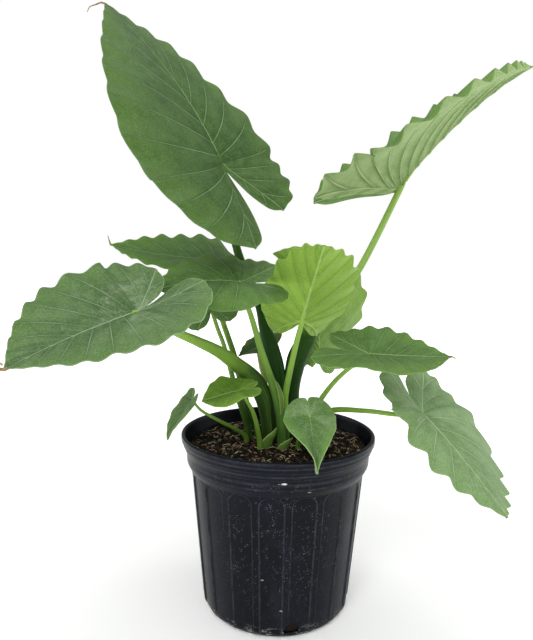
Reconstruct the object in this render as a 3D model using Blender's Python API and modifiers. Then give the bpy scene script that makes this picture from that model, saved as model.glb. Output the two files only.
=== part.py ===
"""Potted elephant ear alocasia, in metres, +Z up.

The origin is on the floor, on the pot's axis, and -Y faces the viewer. Leaf
places, widths and lengths are written in millimetres, and angles in degrees.
"""
import math

import bmesh
import bpy
import numpy as np
from mathutils import Vector, noise

MM = 0.001
GAP = 0.4 * MM

# Pot, measured on its outer side
POT_HEIGHT = 245 * MM
RIM_RADIUS = 138.5 * MM
BAND_RADIUS = 130.4 * MM
BODY_TOP_RADIUS = 123.4 * MM
BASE_RADIUS = 105.5 * MM
BASE_CORNER = 14 * MM
POT_WALL = 3.4 * MM
SHOULDER_DROP = 52 * MM
POT_SEGMENTS = 54
FLUTES = 18
FIRST_FLUTE = math.radians(-92.9)
FLUTE_HALF_ANGLE = math.radians(7.7)
FLUTE_DEPTH = 2.1 * MM
FLUTE_TOP_DROP = 50 * MM
DRAIN_HOLES = 4
FIRST_DRAIN_HOLE = math.radians(-78)
DRAIN_RADIUS = 10.5 * MM
DRAIN_HEIGHT = 13 * MM

# Potting mix and corm
SOIL_LEVEL = 225 * MM
SOIL_MOUND = 4 * MM
SOIL_LUMP = 2.2 * MM
CORM_TOP = 203 * MM
CORM_RADIUS = 56 * MM
CORM_HEIGHT = 46 * MM

# Leaf tissue
BLADE = 1.2 * MM

COLOURS = {
    "pot": (0.018, 0.021, 0.027),
    "soil": (0.035, 0.022, 0.014),
    "corm": (0.16, 0.09, 0.05),
    "dark": (0.045, 0.13, 0.045),
    "mid": (0.07, 0.19, 0.05),
    "young": (0.20, 0.36, 0.06),
    "stem": (0.16, 0.32, 0.07),
    "dark_stem": (0.03, 0.09, 0.03),
}
ROUGHNESS = {"pot": 0.4, "soil": 0.95, "corm": 0.8}
LEAF_ROUGHNESS = 0.45


class Leaf:
    """One blade, by where its petiole meets it and how it lies from there.

    heading, rise and roll turn the midrib; bend, sway and twist act along it,
    fold is the slope of each half at the junction, the tip and the lobes, and
    curl is how much that slope changes from the midrib to the margin. full is
    how far the lobes round into the notch between them, and plump how much
    wider the blade is on its way to the tip.
    """

    def __init__(self, name, joint, heading, rise, roll, length, width, lobe, **shape):
        self.name = name
        self.joint = np.array(joint, float)
        self.heading, self.rise, self.roll = np.radians([heading, rise, roll])
        self.length, self.width, self.lobe = length, width, lobe
        self.lobe_tip = shape.get("lobe_tip", 0.45)
        self.bend = math.radians(shape.get("bend", 10))
        self.lobe_bend = math.radians(shape.get("lobe_bend", 0))
        self.lobe_kink = math.radians(shape.get("lobe_kink", 0))
        self.fold = np.radians(shape.get("fold", (15, 15, 10)))
        self.curl = math.radians(shape.get("curl", -15))
        self.twist = math.radians(shape.get("twist", 0))
        self.sway = math.radians(shape.get("sway", 0))
        self.hook = math.radians(shape.get("hook", 0))
        self.full = shape.get("full", 0.2)
        self.plump = shape.get("plump", 0)
        self.wider = shape.get("wider", 0)
        self.longer = shape.get("longer", 0)
        self.wave = shape.get("wave", 3.0)
        self.scallop = shape.get("scallop", 0.05)
        self.quilt = shape.get("quilt", 1.2)
        self.veins = shape.get("veins", (3, 7))
        self.rib = shape.get("rib", 3.0)
        self.seed = shape.get("seed", 0)
        self.colour = shape.get("colour", "dark")
        self._trace_midrib()

    def _axes(self, along):
        """Midrib tangent, side and normal at distances from the junction."""
        heading, rise, roll = self.heading, self.rise, self.roll
        tangent = np.array([math.cos(rise) * math.cos(heading), math.cos(rise) * math.sin(heading),
                            math.sin(rise)])
        level = np.array([-math.sin(rise) * math.cos(heading), -math.sin(rise) * math.sin(heading),
                          math.cos(rise)])
        across = np.cross(tangent, level)
        normal = math.cos(roll) * level + math.sin(roll) * across
        side = math.cos(roll) * across - math.sin(roll) * level
        along = np.asarray(along, float)
        ahead = along >= 0
        part = np.where(ahead, along / self.length, -along / self.lobe)
        hook = self.hook * np.clip((part - 0.88) / 0.12, 0, 1) ** 2
        kink = self.lobe_kink * np.clip(part / 0.2, 0, 1)
        pitch = np.where(ahead, self.bend * part + hook, -self.lobe_bend * part - kink)[:, None]
        yaw = np.where(ahead, self.sway * part, 0)[:, None]
        turn = np.where(ahead, self.twist * part, 0)[:, None]
        tangent_1 = np.cos(yaw) * tangent + np.sin(yaw) * side
        side_1 = np.cos(yaw) * side - np.sin(yaw) * tangent
        tangent_2 = np.cos(pitch) * tangent_1 - np.sin(pitch) * normal
        normal_1 = np.cos(pitch) * normal + np.sin(pitch) * tangent_1
        side_2 = np.cos(turn) * side_1 + np.sin(turn) * normal_1
        normal_2 = np.cos(turn) * normal_1 - np.sin(turn) * side_1
        return tangent_2, side_2, normal_2

    def _trace_midrib(self):
        back = np.linspace(-1.05 * (1 + abs(self.longer)) * self.lobe, 0, 25)[:-1]
        self.stations = np.concatenate([back, np.linspace(0, self.length, 49)])
        tangent = self._axes(self.stations)[0]
        steps = 0.5 * (tangent[1:] + tangent[:-1]) * np.diff(self.stations)[:, None]
        line = np.vstack([np.zeros(3), np.cumsum(steps, 0)])
        self.line = line - line[len(back)] + self.joint

    def place(self, out, along, lift, side):
        """World points for flat coordinates: out from the midrib, along it, and lifted off it."""
        _, across, normal = self._axes(along)
        centre = np.stack([np.interp(along, self.stations, self.line[:, i]) for i in range(3)], -1)
        width = self.width * (1 + side * self.wider)
        at_joint, at_tip, at_lobe = self.fold
        part = np.where(along >= 0, along / self.length, -along / self.lobe)
        slope = at_joint + (np.where(along >= 0, at_tip, at_lobe) - at_joint) * part
        rate = self.curl / width if abs(self.curl) > 1e-6 else 1e-9
        reach = (np.sin(slope + rate * out) - np.sin(slope)) / rate
        height = (np.cos(slope) - np.cos(slope + rate * out)) / rate
        end = slope + rate * out
        surface = centre + side * reach[:, None] * across + height[:, None] * normal
        facing = np.cos(end)[:, None] * normal - side * np.sin(end)[:, None] * across
        return surface + lift[:, None] * facing


def smooth_line(points, fractions):
    """Points at the given fractions of the length of a curve through the given points."""
    points = np.asarray(points, float)
    ends = np.vstack([2 * points[0] - points[1], points, 2 * points[-1] - points[-2]])
    step = np.linspace(0, 1, 13)[:-1][:, None]
    run = []
    for a, b, c, d in zip(ends, ends[1:], ends[2:], ends[3:]):
        run.append(0.5 * (2 * b + (c - a) * step + (2 * a - 5 * b + 4 * c - d) * step ** 2
                          + (3 * b - a - 3 * c + d) * step ** 3))
    run = np.vstack(run + [points[-1:]])
    distance = np.r_[0, np.cumsum(np.linalg.norm(np.diff(run, axis=0), axis=1))]
    distance /= distance[-1]
    return np.stack([np.interp(fractions, distance, run[:, i]) for i in range(points.shape[1])], -1)


def outer_margin(leaf, side, fractions):
    """The margin from the lobe's end round to the tip, in flat coordinates."""
    width = leaf.width * (1 + side * leaf.wider)
    lobe = leaf.lobe * (1 + side * leaf.longer)
    length = leaf.length
    start = leaf.lobe_tip
    corner = 0.5 * (1 + start)
    more = leaf.plump * width
    return smooth_line([(start * width, -lobe), (corner * width, -0.86 * lobe), (0.93 * width, -0.5 * lobe),
                        (width, -0.02 * length), (0.95 * width + 0.07 * more, 0.2 * length),
                        (0.76 * width + 0.16 * more, 0.44 * length), (0.47 * width + 0.2 * more, 0.68 * length),
                        (0.2 * width + 0.17 * more, 0.86 * length), (0.045 * width + 0.08 * more, 0.96 * length),
                        (0, length)], fractions)


def inner_margin(leaf, side, fractions):
    """The margin from the lobe's end to the notch where the two lobes part."""
    width = leaf.width * (1 + side * leaf.wider)
    lobe = leaf.lobe * (1 + side * leaf.longer)
    start = leaf.lobe_tip * width
    full = leaf.full
    return smooth_line([(start, -lobe), ((0.62 - 0.22 * full) * start, (-0.9 - 0.02 * full) * lobe),
                        ((0.3 - 0.22 * full) * start, (-0.6 - 0.06 * full) * lobe),
                        ((0.1 - 0.08 * full) * start, -0.3 * lobe), (0, -0.1 * leaf.lobe)], fractions)


MARGIN_AT_JOINT = 0.31
VEIN_SPREAD = 1.6
VEIN_BOW = 0.045


def vein_spacing(leaf, count):
    """Distance along the margin from one side vein's end to the next."""
    lobe_veins, midrib_veins = leaf.veins
    perimeter = 1.2 * (leaf.length + leaf.lobe)
    if count < lobe_veins:
        return perimeter * MARGIN_AT_JOINT / lobe_veins
    left = 1 - (count - lobe_veins) / midrib_veins
    return perimeter * (1 - MARGIN_AT_JOINT) * VEIN_SPREAD * left ** (VEIN_SPREAD - 1) / midrib_veins


def vein_point(leaf, side, count, out):
    """Flat point a fraction `out` of the way along the side vein numbered `count`.

    The veins leave close together near the junction and sweep out towards the tip.
    """
    lobe_veins, midrib_veins = leaf.veins
    width = leaf.width * (1 + side * leaf.wider)
    lobe = leaf.lobe * (1 + side * leaf.longer)
    if count >= lobe_veins:
        part = (count - lobe_veins) / midrib_veins
        start = np.array([0, leaf.length * part ** VEIN_SPREAD])
        fraction = 1 - (1 - MARGIN_AT_JOINT) * (1 - part) ** VEIN_SPREAD
    else:
        part = count / lobe_veins
        start = np.array([leaf.lobe_tip * width, -lobe]) * (1 - part) ** VEIN_SPREAD
        fraction = MARGIN_AT_JOINT * part
    before, end, after = outer_margin(leaf, side, np.clip([fraction - 0.004, fraction, fraction + 0.004], 0, 1))
    run = (after - before) / np.linalg.norm(after - before)
    outward = np.array([run[1], -run[0]])
    cusp = 1 - 2 * abs(math.sin(math.pi * count))
    taper = math.sin(math.pi * min(1, max(0, fraction))) ** 0.5
    end = end + outward * leaf.scallop * vein_spacing(leaf, count) * cusp * taper
    reach = end - start
    back = np.array([reach[1], -reach[0]])
    if back[1] > 0:
        back = -back
    return start + reach * out + back * VEIN_BOW * 4 * out * (1 - out)


def ripple(leaf, side, count, out):
    """Lift of the blade off its smooth form: a waved margin and quilting between the veins."""
    wander = noise.noise(Vector((0.45 * count, 7.0 * side, leaf.seed)))
    lobe_veins, midrib_veins = leaf.veins
    taper = min(1, 2.5 * (1 - count / (lobe_veins + midrib_veins)), 0.15 + 0.45 * count)
    taper *= min(1, vein_spacing(leaf, count) / 28)
    swing = 0.6 * math.cos(2 * math.pi * count) + 1.3 * wander
    quilt = leaf.quilt * math.sin(math.pi * count) ** 2 * 4 * out * (1 - out)
    return leaf.wave * taper * out ** 2 * swing + quilt * taper


def blade_mesh(leaf, steps_per_vein, out_steps):
    """The upper face of a blade as one triangulated sheet, with its rib thickness as weights."""
    mesh = bpy.data.meshes.new(leaf.name)
    sheet = bmesh.new()
    weights = []

    def add(side, count, out, flat):
        lift = ripple(leaf, side, count, out) if count is not None else 0.0
        spot = leaf.place(flat[:1], flat[1:2], np.array([lift]), side)[0]
        weights.append(max(0.0, 1 - out / out_steps[1]))
        return sheet.verts.new(spot * MM)

    lobe_veins, midrib_veins = leaf.veins
    rows = (lobe_veins + midrib_veins) * steps_per_vein
    joint_row = lobe_veins * steps_per_vein
    tip = add(1, None, 0, np.array([0.0, leaf.length]))
    notch = add(1, None, 1, np.array([0.0, -0.1 * leaf.lobe]))
    midrib = {}
    for row in range(joint_row, rows):
        count = row / steps_per_vein
        midrib[row] = add(1, count, 0, vein_point(leaf, 1, count, 0))
    for side in (1, -1):
        grid = {}
        lobe_end = add(side, 0, 0, vein_point(leaf, side, 0, 0))
        for row in range(1, rows):
            count = row / steps_per_vein
            for column, out in enumerate(out_steps):
                if column == 0 and row >= joint_row:
                    grid[row, column] = midrib[row]
                else:
                    grid[row, column] = add(side, count, out, vein_point(leaf, side, count, out))
        faces = []
        last = len(out_steps) - 1
        for column in range(last):
            faces.append((lobe_end, grid[1, column + 1], grid[1, column]))
            faces.append((grid[rows - 1, column], grid[rows - 1, column + 1], tip))
            for row in range(1, rows - 1):
                faces.append((grid[row, column], grid[row, column + 1],
                              grid[row + 1, column + 1], grid[row + 1, column]))
        edge = [notch]
        for row in range(joint_row - 1, 0, -1):
            fraction = np.array([row / joint_row])
            edge.append(add(side, None, 1, inner_margin(leaf, side, fraction)[0]))
        spine = [grid[row, 0] for row in range(joint_row, 0, -1)]
        for i in range(len(spine) - 1):
            faces.append((spine[i], edge[i], edge[i + 1], spine[i + 1]))
        faces.append((spine[-1], edge[-1], lobe_end))
        for face in faces:
            sheet.faces.new(face if side == 1 else face[::-1])
    bmesh.ops.triangulate(sheet, faces=sheet.faces[:])
    sheet.to_mesh(mesh)
    sheet.free()
    return mesh, weights


def material(name):
    made = bpy.data.materials.get(name)
    if made:
        return made
    made = bpy.data.materials.new(name)
    made.use_nodes = True
    shader = made.node_tree.nodes["Principled BSDF"]
    shader.inputs["Base Color"].default_value = (*COLOURS[name], 1)
    shader.inputs["Roughness"].default_value = ROUGHNESS.get(name, LEAF_ROUGHNESS)
    shader.inputs["Metallic"].default_value = 0
    return made


def add_object(name, data, colour, collection):
    made = bpy.data.objects.new(name, data)
    collection.objects.link(made)
    if colour:
        data.materials.append(material(colour))
    return made


def add_cutter(name, data):
    made = add_object(name, data, None, cutters)
    made.hide_render = True
    made.display_type = "WIRE"
    return made


def cut(target, collection_name, shapes):
    """Subtract a collection of closed, separate shapes from the target."""
    group = bpy.data.collections.new(collection_name)
    bpy.context.scene.collection.children.link(group)
    for shape in shapes:
        group.objects.link(shape)
        cutters.objects.unlink(shape)
    modifier = target.modifiers.new(collection_name, "BOOLEAN")
    modifier.operation = "DIFFERENCE"
    modifier.operand_type = "COLLECTION"
    modifier.collection = group
    modifier.solver = "EXACT"


def make_blade(leaf, steps_per_vein, out_steps=(0, 0.16, 0.6, 1)):
    mesh, weights = blade_mesh(leaf, steps_per_vein, out_steps)
    blade = add_object(leaf.name, mesh, leaf.colour, plant)
    thick = blade.vertex_groups.new(name="rib")
    for index, weight in enumerate(weights):
        thick.add([index], weight, "REPLACE")
    solid = blade.modifiers.new("thickness", "SOLIDIFY")
    solid.thickness = leaf.rib * MM
    solid.offset = -1
    solid.vertex_group = "rib"
    solid.thickness_vertex_group = BLADE / (leaf.rib * MM)
    blade.data.set_sharp_from_angle(angle=math.radians(60))
    return blade


def stalk(name, path, radii, colour):
    """A round, tapering stem along a path, with flat closed ends."""
    line = bpy.data.curves.new(name, "CURVE")
    line.dimensions = "3D"
    line.bevel_depth = 1 * MM
    line.bevel_resolution = 2
    line.use_fill_caps = True
    spline = line.splines.new("POLY")
    spline.points.add(len(path) - 1)
    for point, spot, radius in zip(spline.points, path, radii):
        point.co = (*(spot * MM), 1)
        point.radius = radius
    return add_object(name, line, colour, plant)


def drill_soil(name, foot, radius):
    """A round hole in the potting mix, from its top down to the corm."""
    drill = bmesh.new()
    low = CORM_TOP - 1 * MM
    high = SOIL_LEVEL + 14 * MM
    reach = (radius * MM + GAP) / math.cos(math.pi / 10)
    bmesh.ops.create_cone(drill, cap_ends=True, segments=10, radius1=reach, radius2=reach, depth=high - low)
    mesh = bpy.data.meshes.new(name)
    drill.to_mesh(mesh)
    drill.free()
    made = add_cutter(name, mesh)
    made.location = (foot[0] * MM, foot[1] * MM, (high + low) / 2)
    soil_cutters.append(made)


def petiole_path(foot, way, end, rings):
    """From the corm straight up out of the mix, then through the way points to the blade."""
    foot = np.array(foot, float)
    below = np.array([foot[0], foot[1], (CORM_TOP + GAP) / MM])
    soil = np.array([foot[0], foot[1], SOIL_LEVEL / MM + 12])
    route = smooth_line([soil, *way, end], np.linspace(0, 1, rings))
    return np.vstack([below, route])


def make_petiole(leaf, stem):
    """A petiole, wide where its base sheathes the next leaf, slim where it meets its blade."""
    way = [np.array(point, float) for point in stem["way"]]
    radii = stem["radii"]
    normal = leaf._axes(np.array([0.0]))[2][0]
    arriving = leaf.joint - way[-1]
    arriving /= np.linalg.norm(arriving)
    tilt = math.sqrt(max(0, 1 - float(arriving @ normal) ** 2))
    clear = leaf.rib + GAP / MM + radii[-1] * tilt + 0.2 - stem.get("nearer", 0)
    rings = stem.get("rings", 9)
    path = petiole_path(stem["foot"], way, leaf.joint - normal * clear, rings)
    sizes = np.r_[radii[0], stem_radii(stem, leaf.joint, np.linspace(0, 1, rings))]
    name = leaf.name.replace("blade", "petiole")
    drill_soil(name + "_hole", stem["foot"], radii[0])
    return stalk(name, path, sizes, stem.get("colour", "stem"))


def turned(name, profile, segments, colour=None):
    """A solid turned from a profile that runs up the inside and down the outside."""
    mesh = bpy.data.meshes.new(name)
    mesh.from_pydata([(radius, 0, height) for radius, height in profile],
                     [(i, i + 1) for i in range(len(profile) - 1)], [])
    made = add_object(name, mesh, colour, plant)
    screw = made.modifiers.new("turn", "SCREW")
    screw.steps = segments
    screw.render_steps = segments
    screw.use_merge_vertices = True
    screw.merge_threshold = 0.0001
    screw.use_smooth_shade = True
    return made


def settle(made):
    """Replace an object's mesh by its evaluated one and drop its modifiers."""
    evaluated = made.evaluated_get(bpy.context.evaluated_depsgraph_get())
    mesh = bpy.data.meshes.new_from_object(evaluated)
    made.modifiers.clear()
    made.data = mesh
    return made


def body_radius(height):
    """Outer radius of the pot's sloping wall."""
    top = POT_HEIGHT - SHOULDER_DROP
    part = (height - BASE_CORNER) / (top - BASE_CORNER)
    return BASE_RADIUS + (BODY_TOP_RADIUS - BASE_RADIUS) * part


def pot_profile():
    top = POT_HEIGHT
    shoulder = top - SHOULDER_DROP
    inside = [(0, POT_WALL), (BASE_RADIUS - BASE_CORNER, POT_WALL)]
    for degrees in (30, 60, 90):
        turn = math.radians(degrees)
        inner = BASE_CORNER - POT_WALL
        inside.append((BASE_RADIUS - BASE_CORNER + inner * math.sin(turn), BASE_CORNER - inner * math.cos(turn)))
    inside += [(BODY_TOP_RADIUS - POT_WALL, shoulder), (BAND_RADIUS - POT_WALL, shoulder + 13 * MM),
               (BAND_RADIUS - POT_WALL + 0.4 * MM, top - 26 * MM), (RIM_RADIUS - 6 * MM, top - 5 * MM)]
    lip = [(RIM_RADIUS - 5.2 * MM, top - 1.2 * MM), (RIM_RADIUS - 3 * MM, top), (RIM_RADIUS - 1 * MM, top - 0.8 * MM),
           (RIM_RADIUS, top - 3 * MM), (RIM_RADIUS - 0.6 * MM, top - 9 * MM), (RIM_RADIUS - 2.4 * MM, top - 10.4 * MM),
           (RIM_RADIUS - 3.6 * MM, top - 15 * MM), (RIM_RADIUS - 4.8 * MM, top - 16.2 * MM)]
    band = [(BAND_RADIUS + 0.4 * MM, top - 26 * MM), (BAND_RADIUS, top - 37 * MM),
            (BAND_RADIUS - 1.6 * MM, top - 41 * MM), (BODY_TOP_RADIUS + 1.2 * MM, shoulder + 3 * MM),
            (BODY_TOP_RADIUS, shoulder)]
    corner = []
    for degrees in (90, 60, 30, 0):
        turn = math.radians(degrees)
        corner.append((BASE_RADIUS - BASE_CORNER + BASE_CORNER * math.sin(turn), BASE_CORNER * (1 - math.cos(turn))))
    return inside + lip + band + corner + [(0, 0)]


def flute_cutter(index):
    """A tall arch, pushed a little way into the pot's wall."""
    turn = FIRST_FLUTE + 2 * math.pi * index / FLUTES
    arch_top = POT_HEIGHT - FLUTE_TOP_DROP
    half_top = body_radius(arch_top) * math.tan(FLUTE_HALF_ANGLE)
    half_foot = body_radius(0) * math.tan(FLUTE_HALF_ANGLE)
    spring = arch_top - 0.75 * half_top
    outline = [(-half_foot, 0)]
    for step in range(7):
        lean = math.pi * (1 - step / 6)
        outline.append((half_top * math.cos(lean), spring + 0.75 * half_top * math.sin(lean)))
    outline.append((half_foot, 0))
    radial = Vector((math.cos(turn), math.sin(turn), 0))
    across = Vector((-math.sin(turn), math.cos(turn), 0))
    flute = bmesh.new()
    inner = []
    outer = []
    for shift, height in outline:
        floor = body_radius(height) - FLUTE_DEPTH
        inner.append(flute.verts.new(radial * floor + across * shift + Vector((0, 0, height))))
        outer.append(flute.verts.new(radial * (floor + 14 * MM) + across * shift + Vector((0, 0, height))))
    flute.faces.new(inner)
    flute.faces.new(outer[::-1])
    for i in range(len(outline)):
        j = (i + 1) % len(outline)
        flute.faces.new((inner[i], outer[i], outer[j], inner[j]))
    bmesh.ops.recalc_face_normals(flute, faces=flute.faces[:])
    mesh = bpy.data.meshes.new(f"flute_{index}")
    flute.to_mesh(mesh)
    flute.free()
    return add_cutter(f"flute_{index}", mesh)


def drain_cutter(index):
    turn = FIRST_DRAIN_HOLE + 2 * math.pi * index / DRAIN_HOLES
    drill = bmesh.new()
    bmesh.ops.create_cone(drill, cap_ends=True, segments=10, radius1=DRAIN_RADIUS, radius2=DRAIN_RADIUS,
                          depth=24 * MM)
    mesh = bpy.data.meshes.new(f"drain_{index}")
    drill.to_mesh(mesh)
    drill.free()
    made = add_cutter(f"drain_{index}", mesh)
    made.rotation_euler = (0, math.radians(112), turn)
    reach = BASE_RADIUS - 3 * MM
    made.location = (reach * math.cos(turn), reach * math.sin(turn), DRAIN_HEIGHT)
    return made


def make_pot():
    pot = turned("pot", pot_profile(), POT_SEGMENTS, "pot")
    bpy.context.view_layer.update()
    settle(pot)
    pot.rotation_euler[2] = FIRST_FLUTE - math.pi / POT_SEGMENTS
    cut(pot, "pot_cuts", [flute_cutter(i) for i in range(FLUTES)] + [drain_cutter(i) for i in range(DRAIN_HOLES)])
    return pot


def make_soil():
    inner = BASE_RADIUS - BASE_CORNER
    floor = POT_WALL + GAP
    corner = BASE_CORNER - floor
    wall_top = BODY_TOP_RADIUS - POT_WALL - GAP
    slope = (BAND_RADIUS - BODY_TOP_RADIUS) / (13 * MM)
    shoulder = POT_HEIGHT - SHOULDER_DROP
    edge_height = SOIL_LEVEL - 5 * MM
    edge_radius = BAND_RADIUS - POT_WALL - GAP
    profile = [(0, SOIL_LEVEL)]
    rings = (58, 84, 108)
    profile += [(radius * MM, SOIL_LEVEL) for radius in rings]
    profile += [(edge_radius - 0.6 * MM, edge_height), (edge_radius - 0.6 * MM, shoulder + 13 * MM),
                (wall_top, shoulder + GAP / slope), (BASE_RADIUS - POT_WALL - GAP, BASE_CORNER)]
    for degrees in (60, 30, 0):
        turn = math.radians(degrees)
        profile.append((inner + corner * math.sin(turn) - 0.3 * GAP, BASE_CORNER - corner * math.cos(turn)))
    profile.append((0, floor))
    soil = turned("soil", profile, POT_SEGMENTS, "soil")
    bpy.context.view_layer.update()
    settle(soil)
    soil.rotation_euler[2] = FIRST_FLUTE - math.pi / POT_SEGMENTS
    for vertex in soil.data.vertices:
        radius = math.hypot(vertex.co.x, vertex.co.y)
        if vertex.co.z > SOIL_LEVEL - 1 * MM:
            mound = SOIL_MOUND * (1 - radius / BAND_RADIUS)
            vertex.co.z += mound + SOIL_LUMP * noise.noise(vertex.co * 45)
    return soil


def make_corm():
    flat = CORM_RADIUS * 0.94
    profile = [(0, CORM_TOP), (flat, CORM_TOP)]
    for degrees in (60, 90, 120, 150):
        turn = math.radians(degrees)
        profile.append((CORM_RADIUS * math.sin(turn), CORM_TOP - CORM_HEIGHT * (0.5 - 0.5 * math.cos(turn))))
    profile.append((0, CORM_TOP - CORM_HEIGHT))
    corm = turned("corm", profile, 16, "corm")
    grown = [(0, CORM_TOP + GAP), (flat + 1.5 * GAP, CORM_TOP + GAP)]
    for step, (radius, height) in enumerate(profile[2:-1]):
        grown.append((radius + 1.5 * GAP, height - 0.4 * step * GAP))
    grown.append((0, CORM_TOP - CORM_HEIGHT - 1.5 * GAP))
    pocket = turned("corm_pocket", grown, 16)
    bpy.context.view_layer.update()
    settle(pocket)
    plant.objects.unlink(pocket)
    cutters.objects.link(pocket)
    pocket.hide_render = True
    pocket.display_type = "WIRE"
    soil_cutters.append(pocket)
    return corm


def sheath_strip(name, centre, radius, start, sweep, rows, thickness):
    """A strip curved round a stem's foot, with a row of points at each given height."""
    strip = bmesh.new()
    columns = 5
    levels = []
    for row in rows:
        level = []
        for i in range(columns):
            part = i / (columns - 1)
            turn = math.radians(start + sweep * part)
            base, peak, spread = row
            height = base + peak * math.sin(math.pi * (0.1 + 0.8 * part))
            reach = radius * spread
            level.append(strip.verts.new(((centre[0] + reach * math.cos(turn)) * MM,
                                          (centre[1] + reach * math.sin(turn)) * MM, height * MM)))
        levels.append(level)
    for lower, upper in zip(levels, levels[1:]):
        for i in range(columns - 1):
            strip.faces.new((lower[i], lower[i + 1], upper[i + 1], upper[i]))
    bmesh.ops.triangulate(strip, faces=strip.faces[:])
    mesh = bpy.data.meshes.new(name)
    strip.to_mesh(mesh)
    strip.free()
    made = add_object(name, mesh, None, plant)
    solid = made.modifiers.new("thickness", "SOLIDIFY")
    solid.thickness = thickness * MM
    solid.offset = 0
    return made


def sheath_stub(name, centre, radius, start, sweep, peak, colour="mid"):
    """A torn strip of an old sheath, standing in the mix beside a stem."""
    soil = SOIL_LEVEL / MM
    low = soil - 10
    stub = sheath_strip(name, centre, radius, start, sweep,
                        [(low, 0, 1), (soil + 7, 0, 1), (soil + 9, peak, 1.06)], 1.6)
    stub.data.materials.append(material(colour))
    margin = GAP / MM
    wider = math.degrees(2 * margin / radius)
    slot = sheath_strip(name + "_slot", centre, radius, start - wider, sweep + 2 * wider,
                        [(low - margin, 0, 1), (soil + 14, 0, 1)], 1.6 + 2.4 * margin)
    plant.objects.unlink(slot)
    cutters.objects.link(slot)
    slot.hide_render = True
    slot.display_type = "WIRE"
    soil_cutters.append(slot)


def make_bud(name, foot, way, top, stalk_radius, leaf_radius, colour):
    """A young leaf still rolled up, on its own thin stalk, in one piece."""
    rings = 10
    path = petiole_path(foot, [np.array(point, float) for point in way], np.array(top, float), rings)
    rise = np.r_[0, np.linspace(0, 1, rings)]
    swell = np.clip((rise - 0.6) / 0.4, 0, 0.97)
    radii = stalk_radius + (leaf_radius - stalk_radius) * np.sin(math.pi * swell ** 0.7) ** 1.3
    stalk(name, path, radii, colour)
    drill_soil(name + "_hole", foot, stalk_radius)


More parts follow.
